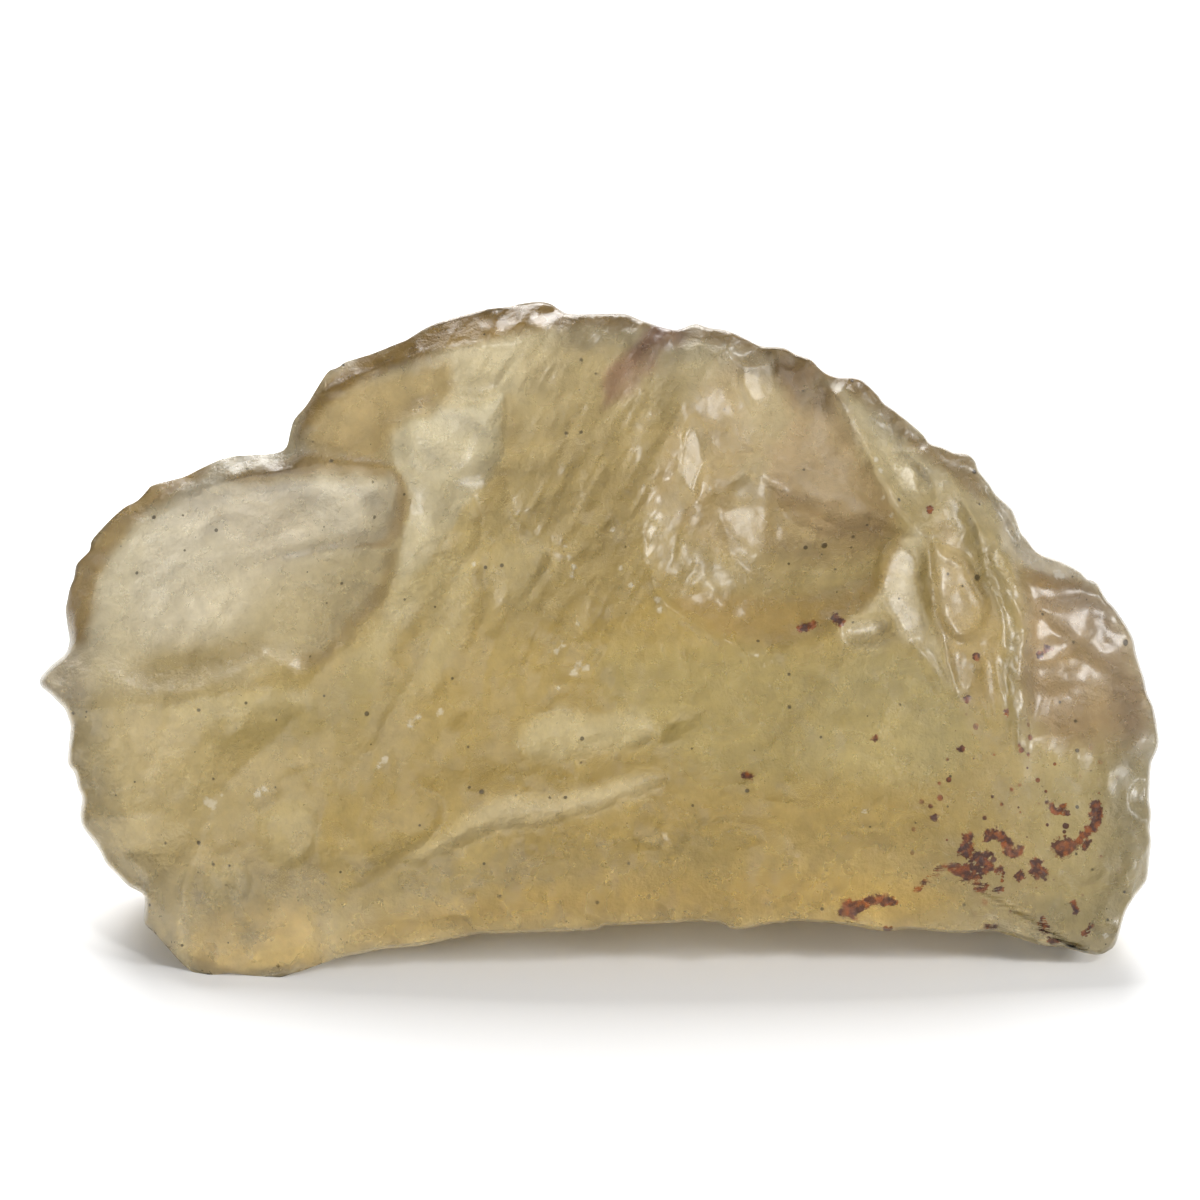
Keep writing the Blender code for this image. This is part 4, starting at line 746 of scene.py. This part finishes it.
    ([(-5.2, -5.9), (-4, -5.4), (0, -5.3), (3, -4.9), (4.5, -5.5), (1, -6.4), (-2, -7),
      (-5, -6.9)], "AE9858", 0.7, 0.55),
    # long pale band: painted sheen where it faces up
    ([(-9.9, -10.5), (-8.5, -9.6), (-6.9, -8.4), (-4.8, -7.4), (-1.5, -7.1), (2, -6.1), (3, -6.6),
      (0.5, -7.8), (-2.5, -8.5), (-5.5, -9.1), (-8, -10.3)], "EADDB8", 0.6, 0.8),
    # saturated left hollow
    ([(-13.5, -7.5), (-11.5, -6.4), (-9.8, -6), (-8, -7.2), (-8, -9), (-10, -11), (-12.8, -11.8),
      (-14.5, -10.5), (-14.2, -8.5)], "B89E52", 1.1, 0.65),
    # dark olive stripe left
    ([(-15, -2), (-12, -0.5), (-10, -1.5), (-11, -3.5), (-15, -4.5), (-18.5, -5), (-19.5, -4.2)],
      "A4935A", 0.8, 0.6),
    # pale patch below the wing
    ([(-21.8, -3.4), (-20, -2.5), (-17.8, -2.1), (-15, -2), (-14.8, -2.8), (-17.5, -3.5),
      (-20, -3.7)], "D3C494", 0.45, 0.7),
    # pale patch, left body
    ([(-16.9, -8.1), (-15.5, -7.5), (-14.4, -8.1), (-14.2, -9.5), (-15, -10.8), (-16.5, -10.4),
      (-17, -9.4)], "D2C28C", 0.6, 0.5),
    # pale patch by the foot
    ([(-19.7, -10.9), (-18.7, -10.5), (-17.7, -11.1), (-17.5, -12.2), (-18.8, -12.8),
      (-19.6, -12.2)], "D4C492", 0.5, 0.5),
    # saturated lower edge
    ([(-12.5, -14), (-7.5, -12.5), (0, -11.5), (8, -11), (15, -11.5), (18, -12.5), (15, -13.8),
      (8, -13.5), (0, -13.6), (-7.5, -14.2), (-12, -15)], "BE9F50", 1.0, 0.7),
    # foot
    ([(-20.5, -16), (-20.5, -14), (-18.5, -13), (-15, -12.8), (-13.5, -15.5), (-16, -16.3)],
      "EACB84", 0.8, 0.75),
    # left facet of the foot
    ([(-22.8, -12.5), (-21.2, -11), (-20.2, -10), (-20.7, -11.8), (-20.6, -14), (-21, -15.5),
      (-22.5, -14)], "F2DEAC", 0.5, 0.75),
    # thorn
    ([(-28.5, -1.5), (-27, 0), (-26, -0.2), (-25.8, -2.5), (-27, -3.1)], "DACDB2", 0.5, 0.8),
    # right end, greenish
    ([(22, -5.5), (26, -4.5), (27.5, -6.5), (27.5, -12.5), (25.5, -14.8), (23, -14), (21.5, -10)],
      "AC9C66", 1.0, 0.6),
    # ribs, greenish grooves
    ([(17.8, 7.2), (19.2, 6), (20.2, 3.5), (21, 0.5), (21.1, -4.5), (20.6, -4.5), (20.2, 0),
      (19.5, 2.5), (18.2, 5)], "928048", 0.3, 0.75),
    # purple-brown streak
    ([(3.1, 16.5), (4.5, 15.8), (4.3, 15.2), (3.2, 14.9), (2.4, 13.9), (1.6, 13.1), (0.9, 12.5),
      (0.3, 12.1), (0.2, 13), (0.6, 14.1), (1.4, 15), (2.1, 15.8)], "8E6B55", 0.3, 0.75),
    # its darker heart
    ([(2.8, 16.3), (3.4, 16), (2.5, 15.2), (1.8, 14.2), (1.1, 13.3), (0.5, 12.6), (0.4, 13.1),
      (0.9, 14.2), (1.7, 15.1)], "7A5240", 0.25, 0.6),
    # brown stain in the bowl
    ([(8.8, 14.4), (10, 14.3), (10.9, 13.9), (10.3, 12.9), (9.9, 11.7), (9.6, 12.4), (9.3, 13.2)],
      "96744A", 0.35, 0.7),
    # lighter left end
    ([(-27, -3.5), (-24, -3.5), (-20, -4.5), (-19.5, -7.5), (-20.5, -10.5), (-21, -16),
      (-24, -12.5), (-26.5, -7.5)], "ECDAA8", 1.4, 0.45),
    # lighter low on the left
    ([(-13.5, -10), (-9, -8.5), (-5, -9), (-6, -12), (-11, -12.5), (-13.5, -12)],
      "D2BC7C", 1.0, 0.4),
    # lighter below the bright facet
    ([(12.5, -0.5), (15, 0), (17.5, -2.5), (18, -5.5), (14, -6.5), (10, -5.5)],
      "CABC86", 0.9, 0.55),
    # right part of the wing, near white: painted sheen and painted glow of light through it
    ([(-18.2, 8), (-15, 8.6), (-10.8, 8.5), (-10.2, 7.5), (-10.5, 6), (-12.5, 5.2), (-15, 4.9),
      (-17.5, 4), (-18.2, 5.5)], "EFE8DA", 0.8, 0.4),
]


def tinted(thickness):
    """Colour by depth of glass, eased from thin through middle to thick."""
    first = smooth_step(thickness, 2.0, 7.0)[:, None]
    second = smooth_step(thickness, 6.0, 14.0)[:, None]
    colour = linear(THIN_GLASS) * (1 - first) + linear(MIDDLE_GLASS) * first
    return colour * (1 - second) + linear(THICK_GLASS) * second


colour = tinted(thick)
on_face = np.arange(len(colour)) < a.size
stained = (0.6 * smooth_step(unevenness(a_all, b_all, 6.0, 3.3), 0.0, 0.6))[:, None]
colour = np.where(on_face[:, None], colour, colour * (1 - stained) + linear(BACK_STAIN) * stained)
blur_a = a + 0.3 * unevenness(a, b, 2.0, 7.1) + 0.15 * unevenness(a, b, 0.6, 7.9)
blur_b = b + 0.3 * unevenness(a, b, 2.0, 8.6) + 0.15 * unevenness(a, b, 0.6, 9.4)
for points, hex_colour, softness, strength in PATCHES:
    share = smooth_step(depth_inside(blur_a, blur_b, points, softness), -softness, softness)
    share = (strength * share)[:, None]
    colour[on_face] = colour[on_face] * (1 - share) + linear(hex_colour) * share
# Kept on the mesh: the glass's own colour with the painted shade, highlights and sheen of the
# patches.
paint = stone_mesh.attributes.new("glass_colour_and_painted_light", "FLOAT_COLOR", "POINT")
paint.data.foreach_set("color", np.column_stack([colour, np.ones(len(colour))]).ravel())

# Ground with a fine spray of rust; then rust in the pits and fresh white chips, each a spot on
# the face: centre and radius.
RUSTY_GROUND = [(16.5, -5.0), (20.0, -3.0), (24.5, -5.0), (26.0, -8.5), (24.5, -12.5),
                (19.0, -13.0), (15.5, -10.5)]
RUST = [
    (12.15, -13.1, 0.25), (12.4, -12.75, 0.35), (12.6, -13.1, 0.35), (12.9, -12.85, 0.35),
    (13.3, -12.65, 0.25), (13.6, -12.55, 0.25), (14, -12.45, 0.3), (14.4, -12.5, 0.3),
    (14.65, -12.6, 0.25), (18.4, -9.4, 0.3), (18.35, -9.8, 0.35), (18.45, -10.15, 0.3),
    (18.75, -10.35, 0.25), (18.05, -10.05, 0.2), (17.5, -10.8, 0.25), (17.85, -11, 0.25),
    (18.2, -11.25, 0.35), (18.6, -11.3, 0.3), (18.4, -10.8, 0.25), (18.8, -10.9, 0.25),
    (19.15, -11, 0.3), (19.4, -10.8, 0.25), (19.25, -10.35, 0.3), (19, -10.6, 0.25),
    (19.5, -10.25, 0.2), (19.4, -9.1, 0.2), (19.4, -9.4, 0.25), (19.7, -9.2, 0.3),
    (20.05, -9.3, 0.3), (20.3, -9.6, 0.3), (20.4, -9.95, 0.35), (20.7, -10.1, 0.3),
    (20.95, -10, 0.25), (21.8, -10.7, 0.35), (22, -11.1, 0.35), (21.7, -11, 0.3),
    (22.2, -11.3, 0.25), (22.95, -9.8, 0.4), (23.15, -10.05, 0.4), (23.4, -9.65, 0.3),
    (23.6, -9.8, 0.25), (23.85, -9.65, 0.25), (24.05, -9.4, 0.25), (24.3, -9.2, 0.3),
    (24.55, -8.95, 0.3), (24.75, -8.65, 0.3), (24.85, -8.1, 0.35), (24.8, -7.8, 0.3),
    (24.9, -8.4, 0.3), (24.3, -9.75, 0.25), (22.9, -8.1, 0.25), (23.2, -7.9, 0.2),
    (22.65, -7.85, 0.2), (23.35, -8.2, 0.2), (22.15, -13.55, 0.25), (22.2, -13.9, 0.3),
    (15.9, -11.95, 0.2), (16.1, -11.7, 0.2), (16.3, -11.5, 0.2), (16.65, -11.2, 0.2),
    (16.95, -10.95, 0.2), (19.35, -13.85, 0.2), (19.7, -13.8, 0.2), (23.65, -12.7, 0.2),
    (23.8, -13.05, 0.2), (20, -11.95, 0.25), (18.9, -11.9, 0.25), (19.2, -11.8, 0.2),
    (20.9, -11.35, 0.25), (21.05, -11.15, 0.2), (20, -11, 0.25), (7.25, -6.25, 0.2),
    (7.55, -6.3, 0.2), (13.75, -4.4, 0.2), (16.7, -8.4, 0.2), (24.6, -13.8, 0.2),
    (22.5, -14.6, 0.2), (22.85, -14.65, 0.2), (24.3, -14.2, 0.2), (10, 1.05, 0.2),
    (10.3, 1.15, 0.3), (10.65, 1.25, 0.2), (11.75, 1.6, 0.25), (12, 1.4, 0.25), (20.35, -3.1, 0.2),
    (18.8, -0.35, 0.2), (18.35, -2.45, 0.2), (18.05, -4.95, 0.2), (16.5, 7.05, 0.2),
    (22.5, 0.05, 0.25), (22.1, -0.25, 0.2), (14.4, -13.95, 0.25),
]
CHIPS = [
    (-19.4, -7.7, 0.3), (-19.65, -7.5, 0.26), (-18.9, -7.25, 0.15), (-16.8, -6.95, 0.23),
    (-17.15, -7.15, 0.23), (-10.75, -5.45, 0.19), (-11.05, -5.75, 0.19), (-9.45, -3.65, 0.23),
    (-9.1, -3.35, 0.19), (-8, -3.1, 0.23), (-1.75, 5.15, 0.15), (-1.55, 4.6, 0.19),
    (-1.3, 4.15, 0.19), (-1.4, 3.7, 0.15), (-2.15, -0.05, 0.19), (-1.85, 0.3, 0.19),
    (-1.05, -0.7, 0.26), (-0.7, -0.95, 0.23), (-1.3, -1.15, 0.23), (-2.05, -1.9, 0.15),
    (-1.1, 1.3, 0.15), (0.6, 6, 0.15), (1, 4.1, 0.15), (1.55, 3.25, 0.15), (13.15, -8.1, 0.19),
    (2.85, 2.5, 0.19), (2.95, 2, 0.19), (7.85, -0.25, 0.15), (8.2, -0.7, 0.15), (8.55, -0.6, 0.15),
    (8.5, -1.7, 0.15), (8.95, -1.95, 0.15), (25.35, -14.35, 0.19), (-6.3, 4.25, 0.15),
    (20.6, 7.25, 0.23), (21, 5.85, 0.19), (23.1, 3.75, 0.3), (13.85, 9.55, 0.15), (14.05, 9, 0.15),
    (14.15, 7.6, 0.15), (14.6, 6.75, 0.15),
]


def spotted(spots):
    """How far each point is into the nearest spot: 1 in its middle, 0.5 on its rim."""
    depth = np.zeros(a.shape)
    for ca, cb, radius in spots:
        depth = np.maximum(depth, 1.0 - 0.5 * np.hypot(a - ca, b - cb) / radius)
    return depth


def keep(name, on_the_face):
    """Stores a number for each vertex of the face, and 0 for those behind."""
    values = np.zeros(len(colour))
    values[on_face] = on_the_face
    stone_mesh.attributes.new(name, "FLOAT", "POINT").data.foreach_set("value", values)


keep("rust", spotted(RUST))
keep("chip", spotted(CHIPS))
keep("rusty_ground", smooth_step(depth_inside(a, b, RUSTY_GROUND, 2.0), -1.0, 1.5))

# Sand-worn glass: light sinks in and comes back yellow, while the frosted skin spreads each
# highlight into a soft, grainy sheen.
glass = bpy.data.materials.new("sand_worn_desert_glass")
glass.use_nodes = True
tree = glass.node_tree
tree.nodes.clear()


def node(kind, settings=(), **links):
    """Adds one node, sets its properties and inputs, and links inputs to other sockets."""
    made = tree.nodes.new(kind)
    for name, value in dict(settings).items():
        if name in made.inputs.keys():
            made.inputs[name].default_value = value
        else:
            setattr(made, name, value)
    for name, socket in links.items():
        tree.links.new(socket, made.inputs[name.replace("_", " ")])
    return made


# The face's colour: the glass's own tint with painted shade and painted highlights laid in.
melt = node("ShaderNodeAttribute", {"attribute_name": "glass_colour_and_painted_light"})
place_on_stone = node("ShaderNodeTexCoord").outputs["Object"]


def noise(pitch_mm, detail, roughness=0.55):
    """Soft irregular noise from 0 to 1, with features about pitch_mm apart."""
    return node("ShaderNodeTexNoise", {"Scale": 1000.0 / pitch_mm, "Detail": detail,
                                       "Roughness": roughness}, Vector=place_on_stone).outputs["Fac"]


def between(value, low, high, at_low, at_high):
    """at_low where the value is low or less, at_high where it is high or more."""
    return node("ShaderNodeMapRange", {"From Min": low, "From Max": high, "To Min": at_low,
                                       "To Max": at_high}, Value=value).outputs["Result"]


def arithmetic(operation, first, second):
    """One step of arithmetic on two values, each a number or a socket."""
    made = node("ShaderNodeMath", {"operation": operation})
    for socket, value in zip(made.inputs, (first, second)):
        if isinstance(value, float):
            socket.default_value = value
        else:
            tree.links.new(value, socket)
    return made.outputs["Value"]


def laid_over(under, hex_colour, share):
    """A colour laid over another one by the share from 0 to 1."""
    made = node("ShaderNodeMixRGB", {"Color2": (*linear(hex_colour), 1.0)}, Fac=share)
    tree.links.new(under, made.inputs["Color1"])
    return made.outputs["Color"]


def specks(pitch_mm, radius_mm):
    """1 inside tiny balls strewn about pitch_mm apart through the glass, 0 between them. A
    ball's size is the cube of its cell's random number, so only a few are large."""
    cells = node("ShaderNodeTexVoronoi", {"Scale": 1000.0 / pitch_mm}, Vector=place_on_stone)
    luck = node("ShaderNodeSeparateColor", Color=cells.outputs["Color"]).outputs["Red"]
    size = arithmetic("MULTIPLY", arithmetic("POWER", luck, 3.0), radius_mm / pitch_mm)
    return between(arithmetic("SUBTRACT", size, cells.outputs["Distance"]), 0.0, 0.02, 0.0, 1.0)


def attribute(name):
    """A number kept on the mesh."""
    return node("ShaderNodeAttribute", {"attribute_name": name}).outputs["Fac"]


# The mottled colour of the melt and of its painted shade and highlights, with fresh chips, dark
# specks and rust laid over it.
ragged = arithmetic("MULTIPLY", arithmetic("SUBTRACT", noise(0.3, 5.0, 0.7), 0.5), 1.4)
cloud = arithmetic("MULTIPLY", between(noise(0.9, 6.0, 0.7), 0.3, 0.7, 0.78, 1.16),
                   between(noise(5.0, 3.0), 0.35, 0.65, 0.95, 1.05))
mottled = node("ShaderNodeVectorMath", {"operation": "SCALE"})
tree.links.new(melt.outputs["Color"], mottled.inputs[0])
tree.links.new(cloud, mottled.inputs["Scale"])
skin = mottled.outputs["Vector"]
chipped = between(arithmetic("ADD", attribute("chip"), ragged), 0.5, 0.75, 0.0, 0.75)
skin = laid_over(skin, FRESH_CHIP, chipped)
pits = arithmetic("MAXIMUM", specks(0.8, 0.12), specks(1.9, 0.19))
skin = laid_over(skin, DARK_SPECK, arithmetic("MULTIPLY", pits, 0.85))
spray = arithmetic("MULTIPLY", specks(0.45, 0.18), attribute("rusty_ground"))
rusted = arithmetic("MAXIMUM", spray,
                    between(arithmetic("ADD", attribute("rust"), ragged), 0.48, 0.56, 0.0, 1.0))
skin = laid_over(skin, RUST_BROWN, rusted)
crusted = arithmetic("MULTIPLY", rusted, between(noise(0.35, 3.0), 0.38, 0.55, 0.0, 1.0))
skin = laid_over(skin, RUST_DARK, crusted)

# The frosted grain of the skin, with the specks sunk into it as pits.
grit = arithmetic("ADD", noise(0.22, 5.0, 0.65), arithmetic("MULTIPLY", noise(0.9, 3.0), 1.6))
grit = arithmetic("SUBTRACT", grit, arithmetic("MULTIPLY", pits, 0.6))
frost = node("ShaderNodeBump", {"Strength": 1.0, "Distance": 0.00007}, Height=grit)
shader = node("ShaderNodeBsdfPrincipled",
              {"IOR": 1.46, "Transmission Weight": 0.62, "Coat Weight": 0.42, "Coat Roughness": 0.23},
              Base_Color=skin, Normal=frost.outputs["Normal"],
              Roughness=between(noise(1.4, 4.0), 0.35, 0.65, 0.22, 0.34))

# Ten millimetres of it let through 79, 73 and 54 hundredths of the red, green and blue light.
inside = node("ShaderNodeVolumeAbsorption", {"Color": (0.76, 0.68, 0.38, 1.0), "Density": 100.0})
node("ShaderNodeOutputMaterial", Surface=shader.outputs["BSDF"],
     Volume=inside.outputs["Volume"])
stone_mesh.materials.append(glass)


# The table it stands on: plain white paper, wide enough to fill the view, and matt, so that it
# takes the soft shadow without a shine.
bpy.ops.mesh.primitive_plane_add(size=3.0, location=(0, 0, 0))
table = bpy.context.object
table.name = "white_table"
white = bpy.data.materials.new("white_paper")
white.use_nodes = True
paper = white.node_tree.nodes["Principled BSDF"].inputs
paper["Base Color"].default_value = (0.9, 0.9, 0.9, 1)
paper["Roughness"].default_value = 0.9
paper["Specular IOR Level"].default_value = 0.1
table.data.materials.append(white)

# Soft studio light: a bright room, a wide lamp behind that makes the glass glow, two small
# windows on the right for its relief and its highlights, and a weak wide lamp in front.
world = bpy.data.worlds.new("soft_room")
bpy.context.scene.world = world
world.use_nodes = True
world.node_tree.nodes["Background"].inputs["Color"].default_value = (1, 1, 1, 1)
world.node_tree.nodes["Background"].inputs["Strength"].default_value = 0.235


def lamp(name, location, size, power):
    """A square lamp that faces the stone."""
    light = bpy.data.lights.new(name, "AREA")
    light.size = size
    light.energy = power
    made = bpy.data.objects.new(name, light)
    bpy.context.scene.collection.objects.link(made)
    made.location = location
    away = Vector(location) - Vector((0, 0, 0.012))
    made.rotation_euler = away.to_track_quat("Z", "Y").to_euler()


lamp("behind", (-0.05, 0.36, 0.34), 0.35, 4.6)
lamp("right_window", (0.37, -0.13, 0.17), 0.09, 0.95)
lamp("high_window", (0.24, -0.18, 0.31), 0.06, 0.42)
lamp("front_fill", (-0.20, -0.45, 0.20), 0.30, 0.80)

# The camera looks square at the leaning face, from 30 degrees above the table.
VIEW_WIDTH = 60.0
LENS = 300.0
FRAME_CENTRE = (0.0, 2.5)
camera_data = bpy.data.cameras.new("camera")
camera_data.lens = LENS
camera = bpy.data.objects.new("camera", camera_data)
bpy.context.scene.collection.objects.link(camera)
aim = Vector((FRAME_CENTRE[0] - shift_x, FRAME_CENTRE[1] * sin(LEAN) - shift_y,
              FRAME_CENTRE[1] * cos(LEAN) - FLOOR)) * MM
toward = Vector((0.0, -cos(LEAN), sin(LEAN)))
camera.location = aim + toward * (VIEW_WIDTH * MM * LENS / camera_data.sensor_width)
camera.rotation_euler = toward.to_track_quat("Z", "Y").to_euler()
camera_data.clip_start = 0.05
bpy.context.scene.camera = camera
bpy.context.scene.view_settings.view_transform = "Standard"
